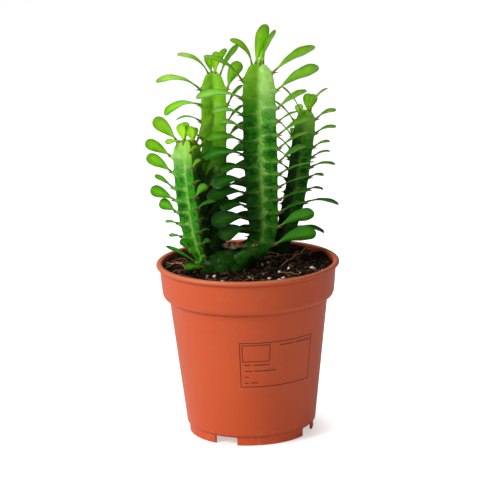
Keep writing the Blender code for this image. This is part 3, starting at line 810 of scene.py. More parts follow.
def skin_shape():
    """A ribbed tube round a stem's middle line: thin wings, wide grooves and a swelling at every tooth."""
    shape = Shape("ribbed skin", {
        "Columns": 84, "First rib": 0.0, "Last tooth": 0.1, "Foot run": 0.015, "Teeth": 10,
        "Tooth depth": 0.13, "Groove share": GROOVE_SHARE, "Lag one": 0.0, "Lag two": 0.0, "Lag three": 0.0,
        "Sharpness": 3.0})
    path = shape.node("GeometryNodeMeshToCurve", None, {"Mesh": shape.given})
    path = shape.store(path, "FLOAT_VECTOR", centre=shape.here())
    skin = shape.tube(path, shape.size("Columns"))
    lap = shape.attribute("lap") * 3
    sector = shape.math("ROUND", lap)
    place = (lap - sector) * 2
    off_crest = abs(place)
    angle = (sector * 120 + shape.math("SIGN", place) * off_crest ** 1.5 * 60 + shape.size("First rib")) \
        * math.radians(1)
    rib = sector % 3
    lag = (rib < 0.5) * shape.size("Lag one") + (abs(rib - 1) < 0.5) * shape.size("Lag two") \
        + (rib > 1.5) * shape.size("Lag three")
    phase = shape.attribute("number") - lag
    teeth = shape.size("Teeth")
    ribbed = shape.smooth(phase, -0.9, -0.3) * (1 - shape.smooth(phase, teeth - 0.7, teeth - 0.1))
    lifted = phase + 0.07 * shape.math("SINE", phase * (2 * math.pi))
    swell = (0.5 + 0.5 * shape.math("COSINE", lifted * (2 * math.pi))) ** shape.size("Sharpness")
    swell = 0.35 + (swell - 0.35) * ribbed
    plain = shape.attribute("plain")
    crest = plain * (1 + shape.size("Tooth depth") * (swell - 0.5))
    turn = off_crest ** 1.5
    soft = shape.math("SQRT", turn * turn + 0.0016) - 0.04
    groove = plain * shape.size("Groove share")
    bulge = plain * 0.035 * ribbed * shape.math("COSINE", phase * (2 * math.pi)) \
        * shape.smooth(turn, 0.05, 0.35) * (1 - shape.smooth(turn, 0.4, 0.9))
    radius = groove + (crest - groove) * (1 - soft) ** 2.4 + bulge
    past_teeth = (shape.attribute("distance") - shape.size("Last tooth")) / shape.size("Foot run")
    foot = shape.smooth(past_teeth, 0.0, 1.0)
    radius = radius + (plain - radius) * foot
    cosine, sine = shape.wheel(angle)
    outward = shape.sum_of(shape.vector("SCALE", shape.way("side"), cosine), (shape.way("front"), sine))
    inner = shape.vector("DOT_PRODUCT", outward, shape.way("inward"))
    skin = shape.store(skin, inner=inner * 0.5 + 0.5, turn=turn, phase=phase, foot=foot)
    return shape.close(shape.moved(skin, Position=shape.sum_of(shape.way("centre"), (outward, radius))))


def skin_host(stem):
    """The stem's middle line, with its radius and directions at every ring."""
    curve = route_points(stem.route)
    length = curve_length(curve)
    distances = list(FIRST_RINGS)
    while distances[-1] + RING_STEP < length:
        distances.append(distances[-1] + RING_STEP)
    frames = [frame_at(curve, distance) for distance in distances]
    plain = []
    for distance in distances:
        radius = smoothed_at(stem.radii, distance, min(BLEND_REACH, distance))
        crown = math.sqrt(1 - (1 - min(1, distance / DOME_RUN)) ** 2)
        plain.append(max(0.05, radius * crown) * MM)
    return host_mesh("middle line", [centre * MM for centre, _, _, _ in frames], {
        "plain": plain,
        "distance": [distance * MM for distance in distances],
        "number": [tooth_number(stem, distance) for distance in distances],
        "age": [stem.ripening * distance / tooth_distance(stem, 0, stem.teeth) for distance in distances],
        # painted shade: less light towards the foot and on the side that faces the plant's middle
        "shade": [between(stem.shade, ease(distance / length, *stem.fade)) for distance in distances],
        "inward": [inward_from(centre) * stem.shelter for centre, _, _, _ in frames],
        "side": [side for _, side, _, _ in frames],
        "front": [front for _, _, front, _ in frames],
    }, [(i, i + 1) for i in range(len(frames) - 1)])


def trunk_mesh(finish):
    """The old woody trunk that both front stems stand on."""
    solid = bmesh.new()
    rows = []
    for ring in range(TRUNK_RINGS):
        height = TRUNK_PROFILE[0][0] + TRUNK_RISE * (1 - (1 - ring / TRUNK_RINGS) ** 1.8)
        share = smoothed_at(TRUNK_PROFILE, height, 1.2)
        row = []
        for angle in around(TRUNK_COLUMNS):
            point = Vector((TRUNK_CENTRE[0] + share * TRUNK_HALF_SIZE[0] * math.cos(angle),
                            TRUNK_CENTRE[1] + share * TRUNK_HALF_SIZE[1] * math.sin(angle), height))
            swell = noise.noise(point * 0.16 + Vector((3, 7, 1))) * 0.9 + noise.noise(point * 0.5) * 0.3
            outward = Vector((math.cos(angle), math.sin(angle), 0.4)).normalized()
            row.append(solid.verts.new((point + outward * (swell - 0.5)) * MM))
        rows.append(row)
    wrap(solid, rows)
    solid.faces.new(rows[0])
    cap(solid, rows[-1], solid.verts.new([part * MM for part in (*TRUNK_CENTRE, TRUNK_PEAK)]))
    mesh = closed_mesh(solid, "trunk", finish, smooth=True)
    for label, amount in TRUNK_LOOK.items():
        layer = mesh.attributes.new(label, "FLOAT", "POINT")
        layer.data.foreach_set("value", [amount] * len(mesh.vertices))
    return mesh


def skin_finish(look):
    """Mottled green skin: a pale ragged stripe down each groove, with thin lines out to the teeth, painted
    highlights and sheen on the outer side, and painted shade lower down and on the inner side.
    """
    finish = Finish("mottled green skin")
    turn, phase, age, foot, inner, shade = finish.attributes("turn", "phase", "age", "foot", "inner", "shade")
    coarse = finish.grain(210) - 0.5
    fine = finish.grain(700, 3.0, 0.65) - 0.5
    speck = finish.grain(1700, 2.0, 0.6)
    broad = finish.grain(95, 1.0) - 0.5
    vigour = finish.smooth(finish.grain(260, 1.0), 0.40, 0.60)
    grown_up = finish.smooth(age, 0.02, 0.30)

    level = abs((phase + coarse * 0.45 + broad * 0.35 + fine * 0.12) % 1 - 0.5) * 2
    between_lines = abs((phase * 2 + 0.6 + coarse * 0.9 + fine * 0.25) % 1 - 0.5) * 2
    line = finish.smooth(level, 0.82, 0.97) * finish.smooth(turn + fine * 1.2 + coarse, 0.02, 0.45)
    twig = finish.smooth(between_lines, 0.80, 0.97) * finish.smooth(turn + fine + coarse, 0.26, 0.58)
    ragged = turn + fine * 0.9 + coarse * 0.8 + broad * 0.5 + finish.smooth(level, 0.45, 1.0) * 0.30 \
        + finish.smooth(between_lines, 0.6, 1.0) * vigour * 0.16
    stripe = finish.smooth(ragged, 0.80, 0.94) * (0.55 + 0.45 * finish.smooth(coarse + fine, -0.16, 0.10))
    halo = finish.smooth(ragged, 0.50, 0.90) * 0.40
    outer = 1 - finish.smooth(inner, 0.10, 0.55)
    # painted highlight on the teeth on the side away from the plant's middle
    lit_tooth = (1 - finish.smooth(turn + fine * 0.3, 0.06, 0.40)) \
        * finish.smooth(level, 0.45, 0.95) * outer * 0.7
    # pale marks, which also carry the painted highlight on the teeth
    pale = finish.largest(stripe, line * (0.35 + 0.5 * vigour), twig * 0.5, halo, lit_tooth)
    pale = pale * (0.62 + 0.7 * (speck - 0.25)) * (0.35 + 0.65 * grown_up) * (1 - foot * 0.75)

    green = finish.mix(grown_up, look.young, look.mature)
    patch = finish.smooth(coarse + fine * 0.6, -0.06, 0.10) * finish.smooth(age, 0.06, 0.32)
    green = finish.mix(patch * (1 - stripe) * 0.85, green, look.blotch)
    # pale patches near the top: part waxy bloom, part painted highlight
    bloom_and_highlight = finish.smooth(coarse + fine * 0.5, 0.0, 0.25) * (1 - grown_up) * 0.4
    green = finish.mix(bloom_and_highlight, green, look.pale)
    marked = finish.mix(pale * 0.85, green, look.pale)
    # painted sheen: whitish on the outer side near the top of each stem
    sheen = outer * (1 - finish.smooth(age + fine * 0.5, 0.02, 0.40)) \
        * (0.30 + 0.35 * finish.smooth(coarse + fine, -0.1, 0.1))
    marked = finish.mix(sheen, marked, srgb(190, 232, 142))
    edged = finish.mix((1 - finish.smooth(turn, 0.0, 0.05)) * 0.2 * (1 - foot), marked, look.stalk)
    woody = finish.mix(foot * finish.smooth(coarse, 0.02, 0.18) * 0.35, edged, srgb(70, 62, 36))
    flecks = finish.node("ShaderNodeTexVoronoi", None, {"Vector": finish.place, "Scale": 520})
    flecked = finish.mix((1 - finish.smooth(flecks, 0.05, 0.13)) * 0.35 * foot, woody, srgb(200, 214, 190))
    # painted shade: darker lower down and on the side that faces the plant's middle
    painted_inner_shade = finish.smooth(inner, 0.40, 0.90) * finish.smooth(age, -0.15, 0.45)
    colour = finish.dimmed(flecked, shade * (1 - painted_inner_shade * 0.80))
    height = fine * 0.6 + coarse + pale * 0.5
    return finish.surface(Base_Color=colour, Roughness=0.36 + fine * 0.14, Specular_IOR_Level=0.08,
                          Coat_Weight=0.22 * (1 - grown_up) + 0.03, Coat_Roughness=0.22,
                          Subsurface_Weight=0.05, Subsurface_Radius=(0.4, 1.0, 0.1),
                          Subsurface_Scale=0.0012, Normal=finish.bump(height, 0.35, 0.0006))


def blade_shape():
    """Fleshy leaves: each is a flat tube that is bent to the arch, fold and twist of its own point."""
    shape = Shape("fleshy leaves", {"Stations": 26, "Columns": 20, "Thickness": 0.0006, "Stalk": 0.0014,
                                    "Fold": 0.26, "Wave": 0.05})
    line = shape.node("GeometryNodeCurvePrimitiveLine")
    line = shape.node("GeometryNodeResampleCurve", None, {"Curve": line, "Count": shape.size("Stations")})
    line = shape.store(line, step=shape.index_share(shape.size("Stations") - 1))
    tube = shape.tube(line, shape.size("Columns"))
    points = shape.store(shape.given, "FLOAT_VECTOR", root=shape.here())
    leaves = shape.realized(shape.placed(points, tube))

    length, width, rise, droop = shape.attributes("length", "width", "rise", "droop")
    heading, turn, luck, step, lap = shape.attributes("heading", "turn", "luck", "step", "lap")
    along = 0.5 - 0.5 * shape.math("COSINE", step * math.pi)
    across, over = shape.wheel(lap * (2 * math.pi))

    shape_width = (along + 0.0001) ** 1.35 * (1.0001 - along) ** 0.5 / 0.3398
    half = shape.math("MAXIMUM", width * 0.5 * shape_width,
                      shape.size("Stalk") * 0.5 * (1 - shape.smooth(along, 0.80, 0.93)) + 0.00006)
    first = rise + droop * 0.5
    tilt = rise + droop * (0.5 - along)
    cos_f, sin_f = shape.wheel(first)
    cos_h, sin_h = shape.wheel(heading)
    cos_t, sin_t = shape.wheel(tilt)
    reach = length * (sin_f - sin_t) / droop
    lift = length * (cos_t - cos_f) / droop
    sunk = (1 - shape.smooth(step, 0.0, 0.06)) * 0.0026
    ahead = shape.combined(cos_h * cos_t, sin_h * cos_t, sin_t)
    flat = shape.combined(0 - sin_h, cos_h)
    above = shape.combined(0 - cos_h * sin_t, 0 - sin_h * sin_t, cos_t)
    cos_r, sin_r = shape.wheel(turn + (luck - 0.5) * 0.5 * along)
    wide = shape.sum_of(shape.vector("SCALE", flat, cos_r), (above, 0 - sin_r))
    top = shape.sum_of(shape.vector("SCALE", above, cos_r), (flat, sin_r))
    thick = shape.size("Thickness") * 0.5 + (shape.size("Stalk") - shape.size("Thickness")) * 0.5 \
        * (1 - shape.smooth(along, 0.02, 0.30))
    rim = 1 - shape.smooth(abs(across), 0.55, 1.0) * 0.35
    wave = shape.math("SINE", along * 15 + luck * 40 + shape.math("SIGN", across) * luck * 4)
    fold = shape.size("Fold") * (1.35 - along) * half * abs(across) ** 1.3 \
        + wave * shape.size("Wave") * half * across * across * shape.smooth(along, 0.2, 0.5)
    position = shape.sum_of(shape.way("root"), (shape.combined(cos_h, sin_h), reach),
                            (shape.combined(z=1.0), lift), (ahead, 0 - sunk), (wide, across * half),
                            (top, over * thick * rim + fold))
    leaves = shape.store(leaves, along=along, across=across, over=over)
    return shape.close(shape.moved(leaves, Position=position))


def leaf_host(leaves, stem):
    """A point for each leaf with its size and lie, from (root, heading, leaf, droop, age, inner) rows."""
    draws = random.Random(stem.seed + 100)
    rows = []
    for _, heading, leaf, droop, age, inner in leaves:
        lit = 0.6 + 0.4 * between(stem.shade, ease(age, *stem.fade))
        rows.append({
            "length": leaf.length * MM, "width": leaf.width * MM, "rise": math.radians(leaf.rise),
            "droop": math.radians(droop), "heading": math.radians(heading), "turn": math.radians(leaf.turn),
            # tone runs from fresh to old with age and drops further on leaves facing the plant's middle, as
            # painted shade; shade is painted shade too
            "tone": min(1, max(0, 0.78 - age * (1.2 + 0.8 * inner) + draws.uniform(-0.1, 0.1))),
            "shade": lit * (1 - 0.8 * inner ** 2 * ease(age, 0.1, 0.6)),
            "luck": draws.random()})
    return host_mesh("leaf places", [root * MM for root, *_ in leaves],
                     {label: [row[label] for row in rows] for label in rows[0]})


def leaf_finish(look):
    """Clouded leaf green with a painted highlight at heart and painted shade to the rim and tip, with pale
    veins and a brownish stalk.
    """
    finish = Finish("leaf green")
    along, across, over, tone, shade = finish.attributes("along", "across", "over", "tone", "shade")
    off_rib = abs(across)
    cloud = finish.grain(140, 3.0)
    fine = finish.grain(1400)
    green = finish.mix(tone, look.old_leaf, look.fresh_leaf)
    green = finish.mix(finish.smooth(cloud, 0.35, 0.7) * 0.35 * (1 - tone * 0.4), green, look.mature)
    # painted highlight at the heart of the blade
    heart = (1 - finish.smooth(off_rib + cloud * 0.3, 0.15, 0.60)) * finish.smooth(along, 0.25, 0.60)
    green = finish.mix(heart * (0.16 + 0.34 * tone), green, look.fresh_leaf)
    # painted shade towards the rim and at the tip of the blade
    rim = finish.smooth(off_rib + cloud * 0.3, 0.50, 1.15) * 0.42
    tip = finish.smooth(along, 0.72, 1.0) * 0.30
    veins = abs(finish.math("SINE", (along * 26 - off_rib * 6) + cloud * 2)) ** 6
    green = finish.mix(veins * 0.12 * (1 - off_rib), green, look.pale)
    midrib = (1 - finish.smooth(off_rib, 0.02, 0.11)) * (1 - along)
    green = finish.mix(midrib * 0.6, green, look.pale)
    under = finish.smooth(0 - over, 0.1, 0.5)
    green = finish.mix(under * 0.12, green, look.pale)
    green = finish.mix(finish.smooth(off_rib, 0.92, 0.99) * 0.15, green, look.pale)
    stalked = finish.mix((1 - finish.smooth(along, 0.04, 0.17)) * 0.75, green, look.stalk)
    # painted shade: the stem's shade, darker to the rim and at the tip
    colour = finish.dimmed(stalked, shade * (1 - rim) * (1 - tip))
    height = fine * 0.3 + cloud - midrib * 1.2 + veins * 0.15
    return finish.surface(Base_Color=colour, Roughness=0.30 + fine * 0.12, Specular_IOR_Level=0.16,
                          Coat_Weight=0.04 + 0.10 * tone, Coat_Roughness=0.14,
                          Subsurface_Weight=0.08, Subsurface_Radius=(0.6, 1.0, 0.1),
                          Subsurface_Scale=0.0015, Normal=finish.bump(height, 0.3, 0.0005))


def dried_finish():
    finish = Finish("dried leaf")
    along = finish.attribute("along")
    cloud = finish.grain(420, 4.0, 0.6)
    brown = finish.mix(finish.smooth(cloud, 0.3, 0.75), srgb(62, 32, 20), srgb(176, 140, 106))
    colour = finish.mix(finish.smooth(along, 0.6, 1.0) * 0.5, brown, srgb(48, 26, 16))
    return finish.surface(Base_Color=colour, Roughness=0.75, Specular_IOR_Level=0.15,
                          Normal=finish.bump(cloud, 0.6, 0.0006))


def thorn_shape():
    """A horny shield with two short curved thorns at every tooth."""
    shape = Shape("thorns", {"Length": 0.0034, "Width": 0.00034, "Spread": math.radians(SPINE_SPREAD)})
    cone = shape.node("GeometryNodeMeshCone", None,
                      {"Vertices": 7, "Side Segments": 4, "Radius Top": 0.00004,
                       "Radius Bottom": shape.size("Width"), "Depth": shape.size("Length")}, "Mesh")
    cone = shape.store(cone, tip=shape.part(shape.here(), "Z") / shape.size("Length"))
    cone = shape.moved(cone, Offset=shape.combined(shape.attribute("tip") ** 2 * -0.0005))
    pair = [shape.turned(cone, Rotation=shape.combined(y=math.pi / 2, z=shape.size("Spread") * side))
            for side in (1, -1)]
    shield = shape.node("GeometryNodeMeshIcoSphere", None, {"Radius": 0.001, "Subdivisions": 2}, "Mesh")
    shield = shape.turned(shape.store(shield, tip=0.0), Scale=(0.30, 0.36, 0.75),
                          Translation=(-0.0001, 0, -0.0002))
    join = shape.tree.nodes.new("GeometryNodeJoinGeometry")
    for part in (shield, *pair):
        shape.tree.links.new(part.socket, join.inputs[0])
    lie = shape.combined(y=0 - shape.attribute("rise"), z=shape.attribute("facing"))
    return shape.close(shape.placed(shape.given, Value(shape, join.outputs[0]), Rotation=lie,
                                    Scale=shape.attribute("size")))


def thorn_finish(look):
    finish = Finish("horny thorn")
    tip = finish.attribute("tip")
    cloud = finish.grain(900, 3.0)
    colour = finish.mix(cloud, look.thorn, srgb(140, 84, 52))
    colour = finish.mix(finish.smooth(tip, 0.5, 1.0) * 0.6, colour, srgb(52, 24, 18))
    return finish.surface(Base_Color=colour, Roughness=0.5, Normal=finish.bump(cloud, 0.4, 0.0003))


def wall_radius(height):
    """The pot's outer radius on the straight walls of its body and collar."""
    if height < SHOULDER_HEIGHT:
        share = (height - FOOT_HEIGHT) / (SHOULDER_HEIGHT - FOOT_HEIGHT)
        return BODY_FOOT_RADIUS + share * (BODY_TOP_RADIUS - BODY_FOOT_RADIUS)
    share = (height - SHOULDER_HEIGHT) / (POT_HEIGHT - LIP_DEPTH - SHOULDER_HEIGHT)
    return COLLAR_FOOT_RADIUS + share * (COLLAR_TOP_RADIUS - COLLAR_FOOT_RADIUS)


def body_radius(height):
    """The outer radius between the foot and the shoulder, where the frame is printed."""
    share = (height - FOOT_HEIGHT - 0.0004) / (SHOULDER_HEIGHT - FOOT_HEIGHT - 0.0020)
    return BODY_FOOT_RADIUS + share * (BODY_TOP_RADIUS - BODY_FOOT_RADIUS)


def inner_wall():
    """The pot's inner wall as (height, radius) keys, from its floor to its lip."""
    floor_top = FOOT_HEIGHT + FLOOR
    return [(floor_top, wall_radius(floor_top) - WALL),
            (SHOULDER_HEIGHT + 0.0005, BODY_TOP_RADIUS - WALL),
            (SHOULDER_TOP + 0.0014, wall_radius(SHOULDER_TOP) - WALL),
            (POT_HEIGHT - 0.0006, COLLAR_TOP_RADIUS - WALL)]


def pot_profile():
    """Half of the pot's section, as (radius, height): over the floor, up the inside and down the outside."""
    lip_foot = POT_HEIGHT - LIP_DEPTH
    inner = [(0, FOOT_HEIGHT + FLOOR)] + [(radius, height) for height, radius in inner_wall()]
    lip = [(COLLAR_TOP_RADIUS - 0.0008, POT_HEIGHT), (LIP_RADIUS - 0.0010, POT_HEIGHT),
           (LIP_RADIUS, POT_HEIGHT - 0.0009), (LIP_RADIUS, lip_foot + 0.0008),
           (LIP_RADIUS - 0.0008, lip_foot), (COLLAR_TOP_RADIUS, lip_foot)]
    shoulder = [(wall_radius(SHOULDER_TOP), SHOULDER_TOP),
                (wall_radius(SHOULDER_TOP) - 0.0009, SHOULDER_HEIGHT),
                (BODY_TOP_RADIUS + 0.0012, SHOULDER_HEIGHT - 0.0009),
                (BODY_TOP_RADIUS, SHOULDER_HEIGHT - 0.0016)]
    foot = [(BODY_FOOT_RADIUS, FOOT_HEIGHT + 0.0004), (FOOT_RADIUS, FOOT_HEIGHT - 0.0002), (FOOT_RADIUS, 0),
            (FOOT_RADIUS - WALL, 0), (FOOT_RADIUS - WALL, FOOT_HEIGHT), (0, FOOT_HEIGHT)]
    return inner + lip + shoulder + foot


def rounded(profile, reach, steps=4):
    """The profile with each corner eased over this reach, or less where its edges are short."""
    eased = [Vector(profile[0])]
    for before, corner, after in zip(profile, profile[1:], profile[2:]):
        corner = Vector(corner)
        back = Vector(before) - corner
        on = Vector(after) - corner
        start = corner + back * min(0.45, reach / back.length)
        end = corner + on * min(0.45, reach / on.length)
        for step in range(steps + 1):
            t = step / steps
            eased.append(start * (1 - t) ** 2 + corner * 2 * t * (1 - t) + end * t ** 2)
    return [*eased, Vector(profile[-1])]


def pot_solid(look):
    profile = rounded(pot_profile(), look.corner)
    solid = bmesh.new()
    ends = [solid.verts.new((0, 0, point.y)) for point in (profile[0], profile[-1])]
    rows = [circle(solid, point.x, point.y, look.steps) for point in profile[1:-1]]
    wrap(solid, rows)
    for end, row in zip(ends, (rows[0], rows[-1])):
        cap(solid, row, end)
    return new_object("pot_shell", closed_mesh(solid, "pot_shell"))


def notch_cutter(middle):
    """A wedge across the foot ring, with its upper corners rounded."""
    half = NOTCH_SPAN / 2
    wide, deep = NOTCH_CORNER
    arc = [math.radians(90 * step / NOTCH_STEPS) for step in range(NOTCH_STEPS + 1)]
    outline = [(-half, -0.001), (half, -0.001)]
    outline += [(half - wide * (1 - math.cos(t)), NOTCH_HEIGHT - deep * (1 - math.sin(t))) for t in arc]
    outline += [(-half + wide * (1 - math.sin(t)), NOTCH_HEIGHT - deep * (1 - math.cos(t))) for t in arc]
    solid = bmesh.new()
    rings = [[solid.verts.new((radius * math.cos(math.radians(middle + turn)),
                               radius * math.sin(math.radians(middle + turn)), height))
              for turn, height in outline] for radius in NOTCH_REACH]
    wrap(solid, rings)
    for ring in rings:
        solid.faces.new(ring)
    return new_object("notch", closed_mesh(solid, "notch"))


def drain_cutter(index):
    solid = bmesh.new()
    bmesh.ops.create_cone(solid, cap_ends=True, segments=DRAIN_SIDES, radius1=DRAIN_RADIUS,
                          radius2=DRAIN_RADIUS, depth=DRAIN_DEPTH)
    angle = 2 * math.pi * (index + 0.5) / DRAIN_HOLES
    bmesh.ops.translate(solid, verts=solid.verts, vec=(
        DRAIN_CIRCLE * math.cos(angle), DRAIN_CIRCLE * math.sin(angle), FOOT_HEIGHT))
    return new_object("drain", mesh_from(solid, "drain"))


def pot_finish(look):
    """Moulded terracotta plastic: satin, with a fine grain, faint flow marks, a few scuffs, a painted
    highlight on the lip and painted shade in the creases.
    """
    finish = Finish("terracotta plastic")
    cloud = finish.grain(22, 3.0)
    grain = finish.grain(2600, 2.0, 0.6)
    flow = finish.noise(finish.vector("MULTIPLY", finish.place, (30, 30, 240)), 1.0, 3.0)
    height = finish.part(finish.place, "Z")
    dusty = finish.smooth(finish.grain(90, 4.0, 0.65), 0.56, 0.72)
    low = 1 - finish.smooth(height, 0.0, 0.03)
    colour = finish.mix(finish.smooth(cloud, 0.3, 0.7) * 0.25, look.clay, srgb(196, 70, 32))
    colour = finish.mix(flow * 0.12, colour, srgb(226, 112, 66))
    colour = finish.mix(dusty * (0.08 + low * 0.16), colour, srgb(222, 150, 110))
    colour = finish.mix(grain * 0.06, colour, srgb(150, 60, 30))
    # painted highlight along the top of the lip
    painted_lip_highlight = finish.smooth(height, POT_HEIGHT - 0.0020, POT_HEIGHT - 0.0004)
    colour = finish.mix(painted_lip_highlight * 0.55, colour, srgb(240, 146, 108))
    # painted shade in the creases under the lip, under the shoulder and at the foot
    crease_shade = 0
    for crease in (POT_HEIGHT - LIP_DEPTH - 0.0006, SHOULDER_HEIGHT - 0.0018, FOOT_HEIGHT + 0.0002):
        crease_shade = crease_shade + (1 - finish.smooth(abs(height - crease), 0.0002, 0.0014))
    colour = finish.mix(crease_shade * 0.32, colour, srgb(104, 36, 18))
    rough = 0.40 + grain * 0.08 + dusty * 0.10
    return finish.surface(Base_Color=colour, Roughness=rough, Specular_IOR_Level=0.45, Subsurface_Weight=0.04,
                          Subsurface_Radius=(1.0, 0.3, 0.1), Subsurface_Scale=0.001,
                          Normal=finish.bump(grain * 0.5 + flow * 0.4 + dusty * 0.3, 0.22, 0.0004))


def wall_bar(solid, start, end, low, high):
    """A thin bar printed on the wall from one heading to another, in degrees from the front towards +X."""
    steps = max(1, math.ceil((end - start) / 2))
    section = ((low, -PRINT_SUNK), (low, PRINT_PROUD), (high, PRINT_PROUD), (high, -PRINT_SUNK))
    rings = []
    for step in range(steps + 1):
        angle = math.radians(start + (end - start) * step / steps - 90)
        ring = []
        for height, lift in section:
            radius = body_radius(height) + lift
            ring.append(solid.verts.new((radius * math.cos(angle), radius * math.sin(angle), height)))
        rings.append(ring)
    wrap(solid, rings)
    solid.faces.new(rings[0])
    solid.faces.new(rings[-1])


def outline_bars(solid, box, line):
    """Four bars of this width round a box of headings and heights."""
    start, end, low, high = box
    turn = math.degrees(line / wall_radius(low))
    wall_bar(solid, start, end, low, low + line)
    wall_bar(solid, start, end, high - line, high)
    wall_bar(solid, start, start + turn, low + line, high - line)
    wall_bar(solid, end - turn, end, low + line, high - line)


def ink_finish(look):
    finish = Finish("printed ink")
    cloud = finish.grain(1800, 3.0)
    colour = finish.mix(finish.smooth(cloud, 0.4, 0.75) * 0.30, look.ink, look.clay)
    return finish.surface(Base_Color=colour, Roughness=0.5 + cloud * 0.1,
                          Normal=finish.bump(cloud, 0.2, 0.0002))


def mix_height(x, y):
    """The height of the mix's surface at this place, in metres."""
    wave = math.sin(210 * x + 1.3) * math.cos(170 * y - 0.4) + 0.6 * math.sin(330 * y + 260 * x)
    place = Vector((x, y, 0))
    lumps = noise.noise(place * 150) * 0.9 + noise.noise(place * 420) * 0.55 + noise.noise(place * 1100) * 0.3
    heap = HEAP_SLOPE * max(0, math.hypot(x, y) - HEAP_RADIUS) * (0.6 + 7 * y)
    return MIX_LEVEL + MIX_WAVE * wave + MIX_SLOPE * y + MIX_LUMPS * lumps + heap - MIX_SUNK


def mix_bed(finish):
    """The closed body of the mix, with a lumpy top and an attribute that is one on that top."""
    keys = inner_wall()
    walls = [keys[0][0] + 0.0003, keys[1][0], keys[2][0]]
    edge = value_at(keys, MIX_LEVEL) - MIX_CLEARANCE
    solid = bmesh.new()
    top = solid.verts.layers.float.new("top")
    rows = [circle(solid, value_at(keys, height) - MIX_CLEARANCE, height, MIX_COLUMNS) for height in walls]
    for ring in range(MIX_RINGS):
        radius = edge * (1 - ring / MIX_RINGS)
        row = circle(solid, radius, 0, MIX_COLUMNS)
        for angle, vertex in zip(around(MIX_COLUMNS), row):
            vertex.co.z = mix_height(radius * math.cos(angle), radius * math.sin(angle))
            vertex[top] = radius < edge - BARE_EDGE
        rows.append(row)
    wrap(solid, rows)
    solid.faces.new(rows[0])
    middle = solid.verts.new((0, 0, mix_height(0, 0)))
    middle[top] = 1
    cap(solid, rows[-1], middle)
    return new_object("mix_bed", closed_mesh(solid, "mix_bed", finish, smooth=True))


def lump_shape():
    """Loose lumps strewn on the mix's top: each is a small ball pushed out of round."""
    shape = Shape("loose lumps", {"Count": 1000, "Smallest": 0.0004, "Largest": 0.0012, "Flatness": 0.8,
                                  "Length": 1.0, "Sunk": 0.3, "Roundness": 1, "Seed": 1, "Ruggedness": 0.4,
                                  "Frontward": 0.0})
    place = shape.here()
    front = 1 + shape.size("Frontward") * (shape.part(place, "X") * 9 - shape.part(place, "Y") * 22)
    density = shape.size("Count") * 100 * shape.largest(front, 0.1) * (shape.attribute("top") > 0.99)
    points = shape.node("GeometryNodeDistributePointsOnFaces", {"distribute_method": "RANDOM"},
                        {"Mesh": shape.given, "Density": density, "Seed": shape.size("Seed")})

    def draw(low, high, number):
        return shape.node("FunctionNodeRandomValue", {"data_type": "FLOAT"},
                          {"Min": low, "Max": high, "Seed": shape.size("Seed") + number}, "Value")

    ball = shape.node("GeometryNodeMeshIcoSphere", None,
                      {"Radius": 1.0, "Subdivisions": shape.size("Roundness")}, "Mesh")
    smallest = shape.size("Smallest")
    span = smallest + (shape.size("Largest") - smallest) * draw(0.0, 1.0, 1) ** 2.2
    scale = shape.combined(span * shape.size("Length") * draw(0.8, 1.2, 2), span * draw(0.6, 1.0, 3),
                           span * shape.size("Flatness") * draw(0.7, 1.2, 4))
    spin = shape.combined(draw(-0.5, 0.5, 5), draw(-0.5, 0.5, 6), draw(0.0, 2 * math.pi, 7))
    lumps = shape.placed(points, ball, Rotation=spin, Scale=scale)
    lumps = shape.realized(shape.store(lumps, domain="INSTANCE", tone=draw(0.0, 1.0, 8), span=span))
    push = shape.attribute("span") * (shape.noise(shape.here(), 700) - 0.5) * 2 * shape.size("Ruggedness")
    offset = shape.vector("SCALE", shape.node("GeometryNodeInputNormal"), push)
    lift = shape.combined(z=shape.attribute("span") * (0.4 - shape.size("Sunk")))
    return shape.close(shape.moved(lumps, Offset=shape.vector("ADD", offset, lift)))


def strand_shape():
    """Thin fibres along chains of points, as thick as each point says."""
    shape = Shape("fibres", {"Sides": 5})
    path = shape.node("GeometryNodeMeshToCurve", None, {"Mesh": shape.given})
    ring = shape.node("GeometryNodeCurvePrimitiveCircle", {"mode": "RADIUS"},
                      {"Resolution": shape.size("Sides"), "Radius": 1.0})
    return shape.close(shape.node("GeometryNodeCurveToMesh", None,
                                  {"Curve": path, "Profile Curve": ring, "Scale": shape.attribute("thick"),
                                   "Fill Caps": True}))


def fibre_host(count):
    """Chains of points that wander over the mix, and the long straws that lie across it."""
    draws = random.Random(21)
    points, chains, thick, tones = [], [], [], []

    def lay(x, y, heading, length, girth, bend, lift, tone, climb=0.0, wander=0.02):
        first = len(points)
        for step in range(FIBRE_STEPS + 1):
            share = step / FIBRE_STEPS
            rise = lift * math.sin(math.pi * share) + climb * share + girth * 1.5
            if math.hypot(x, y) < STREWN_RADIUS:
                points.append((x, y, mix_height(x, y) + rise))
                thick.append(girth * (0.35 + 0.65 * math.sin(math.pi * min(1, share * 0.9 + 0.1))))
                tones.append(tone)
            x += length / FIBRE_STEPS * math.cos(heading)
            y += length / FIBRE_STEPS * math.sin(heading)
            heading += bend / FIBRE_STEPS + draws.uniform(-wander, wander)
        chains.extend((i, i + 1) for i in range(first, len(points) - 1))

    for _ in range(count):
        radius = FIBRE_CIRCLE * math.sqrt(draws.random())
        angle = draws.uniform(0, 2 * math.pi)
        lay(radius * math.cos(angle), radius * math.sin(angle), draws.uniform(0, 2 * math.pi),
            draws.uniform(0.005, 0.020), draws.uniform(0.00008, 0.00022), draws.uniform(-1.2, 1.2),
            draws.uniform(0, 0.0016), draws.random() ** 2, wander=0.12)
    for straw in STRAWS:
        lay(*straw)
    return host_mesh("fibre places", points, {"thick": thick, "tone": tones}, chains)


